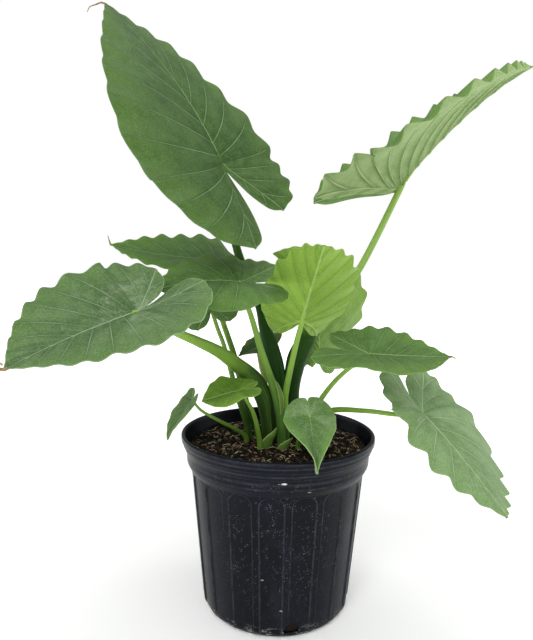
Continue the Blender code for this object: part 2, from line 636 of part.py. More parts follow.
LEAVES = [
    Leaf("blade_tall", (-87, 18, 630), 181, 65, -36, 289, 149, 123, lobe_tip=0.43, bend=22, lobe_bend=4,
         lobe_kink=-16, fold=(20, -1, 20), curl=-24, twist=-11, sway=-11, full=0.3, wider=-0.24,
         longer=-0.17, plump=0.41, wave=4.5, scallop=0.035, veins=(4, 8), rib=3.2, seed=1),
    Leaf("blade_high_right", (168, 24, 598), -13, 52, 15, 288, 126, 85, lobe_tip=0.68, bend=22, lobe_bend=20,
         lobe_kink=-18, fold=(44, 9, 59), curl=-33, twist=-5, sway=-33, full=0, wider=0.2, longer=-0.04,
         plump=-0.19, wave=5, scallop=0.11, veins=(4, 8), rib=3.2, seed=2, colour="mid"),
    Leaf("blade_middle", (-52, -70, 461), 203, 7, -21, 110, 81, 57, lobe_tip=0.57, bend=21, lobe_bend=-17,
         fold=(21, -1, 16), curl=-29, twist=12, sway=-12, full=0.8, wider=-0.05, longer=0.13, plump=0.62, wave=4,
         veins=(3, 6), seed=3),
    Leaf("blade_low_left", (-161, -174, 429), 219, -16, -18, 166, 102, 65, lobe_tip=0.41, bend=-10,
         lobe_bend=-19, lobe_kink=-15, fold=(19, 13, 11), curl=-3, twist=18, sway=-32, full=0.9,
         wider=-0.13, longer=-0.14, plump=0.15, wave=5, scallop=0.06, veins=(3, 8), rib=3.2, seed=4),
    Leaf("blade_young", (30, -41, 409), 287, 52, -10, 189, 66, 35, lobe_tip=0.66, bend=42, lobe_bend=22,
         fold=(20, 15, 41), curl=12, twist=15, sway=13, full=0, wider=-0.08, plump=0.36, wave=4,
         scallop=0.07, veins=(3, 6), seed=5, colour="young"),
    Leaf("blade_behind_young", (61, 56, 350), 127, 97, 5, 182, 80, 30, lobe_tip=0.3, bend=62,
         fold=(-15, 42, -8), curl=-20, twist=15, sway=-28, wider=0.62, longer=0.3, plump=0.35, wave=2,
         veins=(3, 7), seed=6, colour="mid"),
    Leaf("blade_back_left", (-93, 89, 492), 191, 0, -15, 184, 90, 55, lobe_tip=0.43, bend=-7, lobe_bend=10,
         fold=(13, 11, -20), curl=-17, twist=18, sway=27, wider=0.13, longer=0.4, wave=5, veins=(3, 7),
         seed=7, colour="mid"),
    Leaf("blade_under", (-99, 5, 419), 95, 15, -18, 44, 44, 34, lobe_tip=0.55, bend=8, lobe_bend=60,
         fold=(12, 10, 14), curl=-30, full=0.6, wave=2, veins=(3, 5), rib=2.6, seed=8, colour="mid"),
    Leaf("blade_right", (114, -91, 373), 348, -1, 16, 103, 65, 62, lobe_tip=0.6, bend=4, lobe_bend=-12,
         lobe_kink=-3, fold=(17, 4, 2), curl=-7, twist=-18, sway=-18, full=1.1, wider=0.08, longer=0.1,
         wave=3, veins=(3, 6), rib=2.6, seed=9),
    Leaf("blade_low_right", (192, -62, 290), 304, -29, -12, 161, 85, 74, lobe_tip=0.5, bend=8, lobe_bend=-26,
         lobe_kink=-4, fold=(22, -18, 14), curl=-38, twist=-11, sway=6, full=0.8, wider=-0.32, plump=0.6,
         wave=4.5, veins=(3, 7), rib=2.6, seed=10),
    Leaf("blade_front", (39, -115, 298), 278, -45, 7, 73, 33, 30, lobe_tip=0.44, bend=11, lobe_bend=10,
         fold=(7, 83, -8), curl=-34, twist=19, full=0.8, plump=0.11, wave=1, scallop=0.02, quilt=0.5,
         veins=(2, 5), rib=2, seed=11, colour="mid"),
    Leaf("blade_front_left", (-50, -86, 322), 190, -14, -6, 51, 39, 26, lobe_tip=0.42, bend=5, lobe_bend=5,
         fold=(15, 20, 5), curl=-19, twist=40, sway=5, full=1, plump=0.3, wave=1.6, quilt=0.6, veins=(2, 4),
         rib=2, seed=12, colour="young"),
    Leaf("blade_outer_left", (-117, -56, 300), 196, -53, -3, 62, 32, 13, lobe_tip=0.48, bend=10, lobe_bend=2,
         fold=(18, 27, 20), curl=-25, twist=4, plump=0.49, wave=1.2, quilt=0.5, veins=(2, 4), rib=2, seed=13,
         colour="mid"),
    Leaf("blade_small_back", (-25, 60, 364), 203, -36, -11, 45, 32, 32, lobe_tip=0.5, bend=-25,
         lobe_bend=-30, fold=(14, 20, 8), curl=-22, wave=1.2, quilt=0.5, veins=(2, 4), rib=2, seed=14),
]


# Each petiole by its foot in the mix, the points it passes and its radius at each, the blade's end last
STEMS = {
    "blade_tall": dict(foot=(2, 5), way=[(0, 6, 280), (-4, 8, 331), (-11, 9, 360), (-21, 12, 393), (-30, 17, 429),
                                         (-64, 28, 505)],
                       radii=(12.5, 13, 12.5, 11.5, 9.2, 8, 6.2, 4.8), rings=13, colour="dark_stem"),
    "blade_high_right": dict(foot=(20, 29), way=[(19, 29, 299), (23, 28, 333), (27, 27, 348), (36, 26, 367),
                                                 (47, 26, 384), (80, 26, 434), (118, 26, 485)],
                             radii=(10.5, 12.4, 15, 15.4, 14.2, 11.5, 6.2, 5.2, 4.8), rings=14,
                             colour="dark_stem"),
    "blade_middle": dict(foot=(7, -24), way=[(3, -24, 274), (-5, -25, 306), (-18, -30, 345), (-25, -36, 367),
                                             (-37, -46, 409), (-44, -53, 430)],
                         radii=(8.2, 7.3, 6.2, 5.2, 4.5, 3.8, 3.5, 3.4), rings=11),
    "blade_low_left": dict(foot=(-13, -18), way=[(-16, -19, 269), (-22, -22, 299), (-36, -29, 324),
                                                 (-56, -42, 346), (-80, -63, 368), (-103, -100, 386),
                                                 (-120, -146, 402)],
                           radii=(9, 9.6, 12, 12, 10.4, 8.4, 6.4, 5, 4.6), rings=13, nearer=0.5),
    "blade_young": dict(foot=(13, -12), way=[(10, -14, 283), (10, -16, 302), (16, -21, 338), (24, -31, 379)],
                        radii=(4, 4.4, 4.4, 4.2, 3.8, 3.4), rings=10),
    "blade_behind_young": dict(foot=(20, 48), way=[(20, 50, 262), (23, 52, 303), (36, 57, 327)],
                               radii=(4, 3.4, 3, 2.5, 2), rings=9),
    "blade_back_left": dict(foot=(-31, 26), way=[(-44, 29, 262), (-61, 34, 323), (-70, 39, 353), (-79, 46, 376),
                                                 (-89, 57, 402), (-99, 77, 446)],
                            radii=(4.8, 4.8, 4.6, 4.4, 4.3, 4.2, 3.6, 3.2), rings=11, nearer=0.7),
    "blade_under": dict(foot=(-43, 12), way=[(-48, 14, 258), (-60, 12, 292), (-73, 12, 338), (-82, 11, 369),
                                             (-90, 9, 390)],
                        radii=(5.6, 5.2, 4.4, 3.6, 3.2, 3, 2.8)),
    "blade_right": dict(foot=(38, -9), way=[(44, -26, 270), (62, -54, 312), (84, -76, 345)],
                        radii=(4.4, 4, 3.4, 3, 2.8)),
    "blade_low_right": dict(foot=(43, 6), way=[(54, -4, 262), (76, -20, 281), (118, -42, 287), (160, -55, 286)],
                            radii=(5, 4.6, 4, 3.4, 3, 3)),
    "blade_front": dict(foot=(28, -38), way=[(32, -56, 254), (36, -80, 276)], radii=(3, 2.4, 2, 1.8), rings=7),
    "blade_front_left": dict(foot=(-25, -36), way=[(-28, -41, 258), (-34, -52, 284), (-43, -66, 305)],
                             radii=(3.6, 3.4, 2.8, 2.3, 2), rings=7),
    "blade_outer_left": dict(foot=(-46, -10), way=[(-62, -20, 252), (-86, -38, 270), (-105, -50, 285)],
                             radii=(3.4, 2.8, 2.3, 2, 1.8), rings=7),
    "blade_small_back": dict(foot=(-14, 36), way=[(-17, 45, 268), (-22, 58, 310), (-24, 62, 336)],
                             radii=(3, 2.6, 2.2, 2, 1.8), rings=7),
}


def stem_radii(stem, end, fractions):
    """A petiole's radius at the given fractions of its length above the mix."""
    foot = (*stem["foot"], SOIL_LEVEL / MM + 12)
    points = np.array([foot, *stem["way"], end], float)
    distance = np.r_[0, np.cumsum(np.linalg.norm(np.diff(points, axis=0), axis=1))]
    return np.interp(fractions, distance / distance[-1], stem["radii"])


for old in list(bpy.data.objects):
    bpy.data.objects.remove(old, do_unlink=True)

scene_root = bpy.context.scene.collection
plant = bpy.data.collections.new("potted_alocasia")
cutters = bpy.data.collections.new("cutters")
scene_root.children.link(plant)
scene_root.children.link(cutters)
soil_cutters = []

make_pot()
for each in LEAVES:
    make_blade(each, 3 if each.width > 89 else 2)
    make_petiole(each, STEMS[each.name])
make_bud("bud", (-6, 44), [(-14, 45, 280), (-23, 46, 320)], (-33, 46, 352), 1.6, 5.5, "young")
sheath_stub("stub_left", (-13, -18), 12.4, 220, 95, 12)
sheath_stub("stub_right", (7, -24), 11, 285, 85, 8, "young")
make_corm()
soil_body = make_soil()
cut(soil_body, "soil_holes", soil_cutters)
bpy.context.view_layer.update()
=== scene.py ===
"""Potted elephant ear alocasia: the surfaces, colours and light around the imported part.

The frame is in metres, +Z up, -Y towards the viewer, and so are camera, lights and
floor. Shapes are worked out in millimetres, as in the part's own source, and become
metres when their mesh is made.
"""
import math
import random

import bmesh
import bpy
import numpy as np
from mathutils import Matrix, Vector, noise


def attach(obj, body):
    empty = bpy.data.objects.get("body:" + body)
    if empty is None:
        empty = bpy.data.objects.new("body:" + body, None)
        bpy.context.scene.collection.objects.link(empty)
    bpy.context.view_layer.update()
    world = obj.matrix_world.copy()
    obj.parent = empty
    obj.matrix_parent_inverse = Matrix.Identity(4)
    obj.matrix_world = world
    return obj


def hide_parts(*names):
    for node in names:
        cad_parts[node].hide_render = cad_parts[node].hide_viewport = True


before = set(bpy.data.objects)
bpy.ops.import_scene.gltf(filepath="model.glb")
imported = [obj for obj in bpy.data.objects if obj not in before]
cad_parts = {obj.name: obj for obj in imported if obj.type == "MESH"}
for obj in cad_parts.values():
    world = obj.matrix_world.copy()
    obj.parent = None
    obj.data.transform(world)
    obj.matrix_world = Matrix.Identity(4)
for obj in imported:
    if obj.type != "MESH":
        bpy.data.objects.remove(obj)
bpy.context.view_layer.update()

MM = 0.001
# The pot and its mix in millimetres, as in the part
POT_HEIGHT = 245
RIM_RADIUS = 138.5
BAND_RADIUS = 130.4
BODY_TOP_RADIUS = 123.4
BASE_RADIUS = 105.5
BASE_CORNER = 14
POT_WALL = 3.4
SHOULDER_DROP = 52
FLUTES = 18
FIRST_FLUTE_DEGREES = -92.9
FLUTE_HALF_ANGLE = math.radians(7.7)
FLUTE_DEPTH = 1.9
FLUTE_TOP_DROP = 50
FLUTE_ARCH_RISE = 0.75
DRAIN_HOLES = 4
FIRST_DRAIN_HOLE = math.radians(-78)
DRAIN_RADIUS = 10.5
DRAIN_HEIGHT = 13
DRAIN_TILT = math.radians(112)
DRILL_LENGTH = 24
SOIL_LEVEL = 225
SOIL_MOUND = 4
SOIL_RADIUS = 130


def turned(first, second, angle):
    """Two square directions after a turn of the first towards the second."""
    return (np.cos(angle) * first + np.sin(angle) * second, np.cos(angle) * second - np.sin(angle) * first)


class Leaf:
    """One blade, by where its petiole meets it and how it lies from there.

    heading, rise and roll turn the midrib; bend, sway and twist act along it,
    fold is the slope of each half at the junction, the tip and the lobes, and
    closed is added to it on one half. curl is how much that slope changes from
    the midrib to the margin. full is how far the lobes round into the notch
    between them, notch how far from the junction it starts, and plump how much
    wider the blade is on its way to the tip.
    """

    USUAL = dict(lobe_tip=0.45, bend=10, lobe_bend=0, lobe_kink=0, fold=(15, 15, 10), closed=(0, 0, 0),
                 curl=-15, twist=0, sway=0, full=0.2, notch=0.1, plump=0, wider=0, longer=0, wave=3.0,
                 scallop=0.05, quilt=1.2, pleat=0, flutter=0, veins=(3, 7), rib=3.0,
                 upper="upper_middle", lower="under_pale", slot="leaf_dark")
    ANGLES = ("bend", "lobe_bend", "lobe_kink", "fold", "closed", "curl", "twist", "sway")

    def __init__(self, name, joint, heading, rise, roll, length, width, lobe, **shape):
        self.name = name
        self.joint = np.array(joint, float)
        self.heading, self.rise, self.roll = np.radians([heading, rise, roll])
        self.length, self.width, self.lobe = length, width, lobe
        for key, value in {**self.USUAL, **shape}.items():
            setattr(self, key, np.radians(value) if key in self.ANGLES else value)
        self._trace_midrib()

    def axes(self, along):
        """Midrib tangent, side and normal at distances from the junction."""
        level = np.array([math.cos(self.heading), math.sin(self.heading), 0])
        tangent, above = turned(level, np.array([0, 0, 1]), self.rise)
        normal, side = turned(above, np.cross(tangent, above), self.roll)
        along = np.asarray(along, float)[:, None]
        ahead = along >= 0
        part = np.where(ahead, along / self.length, -along / self.lobe)
        kink = self.lobe_kink * np.clip(part / 0.2, 0, 1)
        tangent, side = turned(tangent, side, np.where(ahead, self.sway * part, 0))
        pitch = np.where(ahead, self.bend * part, -self.lobe_bend * part - kink)
        normal, tangent = turned(normal, tangent, pitch)
        side, normal = turned(side, normal, np.where(ahead, self.twist * part, 0))
        return tangent, side, normal

    def _trace_midrib(self):
        back = np.linspace(-1.05 * (1 + abs(self.longer)) * self.lobe, 0, 25)[:-1]
        self.stations = np.concatenate([back, np.linspace(0, self.length, 49)])
        tangent = self.axes(self.stations)[0]
        steps = 0.5 * (tangent[1:] + tangent[:-1]) * np.diff(self.stations)[:, None]
        line = np.vstack([np.zeros(3), np.cumsum(steps, 0)])
        self.line = line - line[len(back)] + self.joint

    def half(self, side):
        """Width and lobe length of one half."""
        return self.width * (1 + side * self.wider), self.lobe * (1 + side * self.longer)

    def place(self, out, along, lift, side):
        """World points for flat coordinates: out from the midrib, along it, and lifted off it."""
        _, across, normal = self.axes(along)
        centre = np.stack([np.interp(along, self.stations, self.line[:, i]) for i in range(3)], -1)
        at_joint, at_tip, at_lobe = self.fold + (self.closed if side < 0 else 0)
        part = np.where(along >= 0, along / self.length, -along / self.lobe)
        slope = at_joint + (np.where(along >= 0, at_tip, at_lobe) - at_joint) * part
        rate = self.curl / self.half(side)[0]
        end = slope + rate * out
        reach = (np.sin(end) - np.sin(slope)) / rate
        height = (np.cos(slope) - np.cos(end)) / rate
        surface = centre + side * reach[:, None] * across + height[:, None] * normal
        facing = np.cos(end)[:, None] * normal - side * np.sin(end)[:, None] * across
        return surface + lift[:, None] * facing


def smooth_line(points, fractions):
    """Points at the given fractions of the length of a curve through the given points."""
    points = np.asarray(points, float)
    ends = np.vstack([2 * points[0] - points[1], points, 2 * points[-1] - points[-2]])
    step = np.linspace(0, 1, 13)[:-1][:, None]
    run = []
    for a, b, c, d in zip(ends, ends[1:], ends[2:], ends[3:]):
        run.append(0.5 * (2 * b + (c - a) * step + (2 * a - 5 * b + 4 * c - d) * step ** 2
                          + (3 * b - a - 3 * c + d) * step ** 3))
    run = np.vstack(run + [points[-1:]])
    distance = lengths(run)
    distance /= distance[-1]
    return np.stack([np.interp(fractions, distance, run[:, i]) for i in range(points.shape[1])], -1)


def lengths(points):
    """Distance of each point from the first, along the line through them."""
    return np.r_[0, np.cumsum(np.linalg.norm(np.diff(points, axis=0), axis=1))]


def unit(rows):
    return rows / np.linalg.norm(rows, axis=1)[:, None]


def even_run(spine, rows):
    """Fractions, places and directions at even steps along the curve through a spine."""
    part = np.linspace(0, 1, rows)
    path = smooth_line(spine, part)
    return part, path, unit(np.gradient(path, axis=0))


def spread(values, part):
    """Values listed at even steps, at the given fractions."""
    return np.interp(part, np.linspace(0, 1, len(values)), values)


def wander(*place):
    """A smooth random value around zero that belongs to a place."""
    return noise.noise(Vector(place))


def outer_margin(leaf, side, fractions):
    """The margin from the lobe's end round to the tip, in flat coordinates."""
    width, lobe = leaf.half(side)
    length = leaf.length
    start = leaf.lobe_tip
    more = leaf.plump * width
    line = [(start * width, -lobe), (0.5 * (1 + start) * width, -0.86 * lobe), (0.93 * width, -0.5 * lobe),
            (width, -0.02 * length)]
    for out, plumper, along in ((0.95, 0.07, 0.2), (0.76, 0.16, 0.44), (0.47, 0.2, 0.68), (0.2, 0.17, 0.86),
                                (0.045, 0.08, 0.96)):
        line.append((out * width + plumper * more, along * length))
    return smooth_line(line + [(0, length)], fractions)


NARROW_NOTCH = 0.1


def inner_margin(leaf, side, fractions):
    """The margin from the lobe's end to the notch where the two lobes part."""
    width, lobe = leaf.half(side)
    start = leaf.lobe_tip * width
    full = leaf.full
    line = smooth_line([(start, -lobe), ((0.62 - 0.22 * full) * start, (-0.9 - 0.02 * full) * lobe),
                        ((0.3 - 0.22 * full) * start, (-0.6 - 0.06 * full) * lobe),
                        ((0.1 - 0.08 * full) * start, -0.3 * lobe), (0, -NARROW_NOTCH * leaf.lobe)],
                       fractions)
    filled = (leaf.notch - NARROW_NOTCH) / (1 - NARROW_NOTCH)
    line[:, 1] -= filled * (leaf.lobe + line[:, 1])
    return line


MARGIN_AT_JOINT = 0.31
VEIN_SPREAD = 1.6
VEIN_BOW = 0.045
WIDE_SPACING = 30


def vein_spacing(leaf, count):
    """Distance along the margin from one side vein's end to the next."""
    lobe_veins, midrib_veins = leaf.veins
    perimeter = 1.2 * (leaf.length + leaf.lobe)
    if count < lobe_veins:
        return perimeter * MARGIN_AT_JOINT / lobe_veins
    left = 1 - (count - lobe_veins) / midrib_veins
    return perimeter * (1 - MARGIN_AT_JOINT) * VEIN_SPREAD * left ** (VEIN_SPREAD - 1) / midrib_veins


def vein_point(leaf, side, count, out):
    """Flat points a fraction `out` of the way along the side vein numbered `count`.

    The veins leave close together near the junction and sweep out towards the tip.
    """
    lobe_veins, midrib_veins = leaf.veins
    width, lobe = leaf.half(side)
    if count >= lobe_veins:
        part = (count - lobe_veins) / midrib_veins
        start = np.array([0, leaf.length * part ** VEIN_SPREAD])
        fraction = 1 - (1 - MARGIN_AT_JOINT) * (1 - part) ** VEIN_SPREAD
    else:
        part = count / lobe_veins
        start = np.array([leaf.lobe_tip * width, -lobe]) * (1 - part) ** VEIN_SPREAD
        fraction = MARGIN_AT_JOINT * part
    near = np.clip([fraction - 0.004, fraction, fraction + 0.004], 0, 1)
    before, end, after = outer_margin(leaf, side, near)
    run = (after - before) / np.linalg.norm(after - before)
    outward = np.array([run[1], -run[0]])
    cusp = 2 * abs(math.cos(math.pi * count)) ** 1.5 - 1
    taper = math.sin(math.pi * min(1, max(0, fraction))) ** 0.5 * min(1, vein_spacing(leaf, count) / 26)
    end = end + outward * leaf.scallop * vein_spacing(leaf, count) * cusp * taper
    reach = end - start
    back = np.array([reach[1], -reach[0]])
    if back[1] > 0:
        back = -back
    out = np.asarray(out, float)[..., None]
    return start + reach * out + back * VEIN_BOW * 4 * out * (1 - out)


def ripple(leaf, side, count, out):
    """Lift of the blade off its smooth form: a waved margin and quilting between the veins."""
    taper = min(1, 2.5 * (1 - count / sum(leaf.veins)), 0.15 + 0.45 * count)
    taper *= min(1, vein_spacing(leaf, count) / 28)
    swing = 0.6 * math.cos(2 * math.pi * count) + 1.3 * wander(0.45 * count, 7.0 * side, leaf.seed)
    quilt = leaf.quilt * math.sin(math.pi * count) ** 2 * 4 * out * (1 - out)
    return leaf.wave * taper * out ** 2 * swing + quilt * taper


LEAVES = [
    Leaf("tall", (-87, 18, 630), 181, 65, -36, 289, 149, 123, lobe_tip=0.43, bend=22, lobe_bend=4,
         lobe_kink=-16, fold=(20, -1, 20), curl=-24, twist=-11, sway=-11, full=0.3, wider=-0.24,
         longer=-0.17, plump=0.41, wave=4.5, scallop=0.06, pleat=0.8, veins=(4, 8), rib=3.2,
         upper="upper_deep"),
    Leaf("high_right", (168, 24, 598), -13, 52, 15, 288, 126, 85, lobe_tip=0.76, bend=22, lobe_bend=20,
         lobe_kink=-18, fold=(44, 9, 59), closed=(8, 22, 26), curl=-33, twist=-5, sway=-33, full=-0.5,
         wider=0.2, longer=-0.04, plump=-0.19, wave=1, scallop=0.03, pleat=3, flutter=6, veins=(4, 10),
         rib=3.2, slot="leaf_mid"),
    Leaf("middle", (-52, -70, 461), 203, 7, -21, 110, 81, 57, lobe_tip=0.57, bend=21, lobe_bend=-17,
         fold=(21, -1, 16), curl=-29, twist=12, sway=-12, full=0.8, wider=-0.05, longer=0.13, plump=0.62,
         wave=4, veins=(3, 6), upper="upper_between"),
    Leaf("low_left", (-161, -174, 429), 219, -16, -18, 166, 102, 65, lobe_tip=0.41, bend=-10,
         lobe_bend=-19, lobe_kink=-15, fold=(19, 13, 11), curl=-3, twist=18, sway=-32, full=0.9,
         wider=-0.13, longer=-0.14, plump=0.15, wave=5, scallop=0.06, pleat=1.2, veins=(3, 8), rib=3.2,
         upper="upper_dusty"),
    Leaf("young", (30, -41, 409), 287, 52, -10, 189, 66, 35, lobe_tip=0.66, bend=42, lobe_bend=22,
         fold=(20, 15, 41), curl=12, twist=15, sway=13, full=0, wider=-0.08, plump=0.36, wave=4,
         scallop=0.07, pleat=0.9, veins=(3, 5), upper="upper_fresh", lower="under_young",
         slot="leaf_young"),
    Leaf("behind_young", (61, 56, 350), 127, 97, 5, 182, 80, 30, lobe_tip=0.3, bend=62,
         fold=(-15, 42, -8), curl=-20, twist=15, sway=-28, wider=0.62, longer=0.3, plump=0.35, wave=1,
         scallop=0.13, flutter=2, veins=(3, 10), upper="upper_light", lower="under_young",
         slot="leaf_mid"),
    Leaf("back_left", (-93, 89, 492), 191, 0, -15, 184, 90, 55, lobe_tip=0.43, bend=-7, lobe_bend=10,
         fold=(13, 11, -20), curl=-17, twist=18, sway=27, wider=0.13, longer=0.4, wave=5,
         upper="upper_between", slot="leaf_mid"),
    Leaf("under", (-99, 5, 419), 95, 15, -18, 44, 44, 34, lobe_tip=0.55, bend=8, lobe_bend=60,
         fold=(12, 10, 14), curl=-30, full=0.6, wave=2, veins=(3, 5), rib=2.6, slot="leaf_mid"),
    Leaf("right", (114, -91, 373), 348, -1, 16, 103, 65, 62, lobe_tip=0.6, bend=4, lobe_bend=-12,
         lobe_kink=-3, fold=(17, 4, 2), curl=-7, twist=-18, sway=-18, full=1.1, wider=0.08, longer=0.1,
         veins=(3, 6), rib=2.6),
    Leaf("low_right", (192, -62, 290), 304, -29, -12, 161, 85, 74, lobe_tip=0.5, bend=8, lobe_bend=-26,
         lobe_kink=-4, fold=(22, -18, 14), curl=-38, twist=-11, sway=6, full=0.8, notch=0.4, wider=-0.32,
         plump=0.6, wave=1.5, scallop=0.16, pleat=1, flutter=1, veins=(3, 6), rib=2.6,
         upper="upper_pale"),
    Leaf("front", (39, -115, 298), 278, -45, 7, 73, 33, 30, lobe_tip=0.44, bend=11, lobe_bend=10,
         fold=(7, 83, -8), curl=-34, twist=19, full=0.8, notch=0.72, plump=0.11, wave=1, scallop=0.02,
         quilt=0.5, veins=(2, 5), rib=2, upper="upper_soft", slot="leaf_mid"),
    Leaf("front_left", (-50, -86, 322), 190, -14, -6, 51, 39, 26, lobe_tip=0.42, bend=5, lobe_bend=5,
         fold=(15, 20, 5), curl=-19, twist=40, sway=5, full=1, plump=0.3, wave=1.6, quilt=0.6,
         veins=(2, 4), rib=2, upper="upper_fresh", lower="under_young", slot="leaf_young"),
    Leaf("outer_left", (-117, -56, 300), 196, -53, -3, 62, 32, 13, lobe_tip=0.48, lobe_bend=2,
         fold=(18, 27, 20), curl=-25, twist=4, plump=0.49, wave=1.2, quilt=0.5, veins=(2, 4), rib=2,
         slot="leaf_mid"),
    Leaf("small_back", (-25, 60, 364), 203, -36, -11, 45, 32, 32, lobe_tip=0.5, bend=-25,
         lobe_bend=-30, fold=(14, 20, 8), curl=-22, wave=1.2, quilt=0.5, veins=(2, 4), rib=2,
         upper="upper_deep"),
]
for seed, leaf in enumerate(LEAVES, 1):
    leaf.seed = seed

# Each petiole: its foot in the mix, the points it passes, its radius at the foot, at each point and at
# the blade, and its skin
STEMS = {
    "tall": ((2, 5), [(0, 6, 280), (-4, 8, 331), (-11, 9, 360), (-21, 12, 393), (-30, 17, 429),
                      (-64, 28, 505)], (12.5, 13, 12.5, 11.5, 9.2, 8, 6.2, 4.8), "dark"),
    "high_right": ((20, 29), [(19, 29, 299), (23, 28, 333), (27, 27, 348), (36, 26, 367), (47, 26, 384),
                              (80, 26, 434), (118, 26, 485)],
                   (10.5, 12.4, 15, 15.4, 14.2, 11.5, 6.2, 5.2, 4.8), "high"),
    "middle": ((7, -24), [(3, -24, 274), (-5, -25, 306), (-18, -30, 345), (-25, -36, 367), (-37, -46, 409),
                          (-44, -53, 430)], (8.2, 7.3, 6.2, 5.2, 4.5, 3.8, 3.5, 3.4), "centre"),
    "low_left": ((-13, -18), [(-16, -19, 269), (-22, -22, 299), (-36, -29, 324), (-56, -42, 346),
                              (-80, -63, 368), (-103, -100, 386), (-120, -146, 402)],
                 (9, 9.6, 12, 12, 10.4, 8.4, 6.4, 5, 4.6), "low"),
    "young": ((13, -12), [(10, -14, 283), (10, -16, 302), (16, -21, 338), (24, -31, 379)],
              (4, 4.4, 4.4, 4.2, 3.8, 3.4), "light"),
    "behind_young": ((20, 48), [(20, 50, 262), (23, 52, 303), (36, 57, 327)], (4, 3.4, 3, 2.5, 2), "light"),
    "back_left": ((-31, 26), [(-44, 29, 262), (-61, 34, 323), (-70, 39, 353), (-79, 46, 376), (-89, 57, 402),
                              (-99, 77, 446)], (4.8, 4.8, 4.6, 4.4, 4.3, 4.2, 3.6, 3.2), "centre"),
    "under": ((-43, 12), [(-48, 14, 258), (-60, 12, 292), (-73, 12, 338), (-82, 11, 369), (-90, 9, 390)],
              (5.6, 5.2, 4.4, 3.6, 3.2, 3, 2.8), "centre"),
    "right": ((38, -9), [(44, -26, 270), (62, -54, 312), (84, -76, 345)], (4.4, 4, 3.4, 3, 2.8), "light"),
    "low_right": ((43, 6), [(54, -4, 262), (76, -20, 281), (118, -42, 287), (160, -55, 286)],
                  (5, 4.6, 4, 3.4, 3, 3), "light"),
    "front": ((28, -38), [(32, -56, 254), (36, -80, 276)], (3, 2.4, 2, 1.8), "light"),
    "front_left": ((-25, -36), [(-28, -41, 258), (-34, -52, 284), (-43, -66, 305)],
                   (3.6, 3.4, 2.8, 2.3, 2), "light"),
    "outer_left": ((-46, -10), [(-62, -20, 252), (-86, -38, 270), (-105, -50, 285)],
                   (3.4, 2.8, 2.3, 2, 1.8), "light"),
    "small_back": ((-14, 36), [(-17, 45, 268), (-22, 58, 310), (-24, 62, 336)],
                   (3, 2.6, 2.2, 2, 1.8), "light"),
}


def srgb(*colour):
    """A colour given as it appears on screen, from 0 to 255, made linear."""
    values = [value / 255 for value in colour]
    return (*(value / 12.92 if value <= 0.04045 else ((value + 0.055) / 1.055) ** 2.4 for value in values), 1)


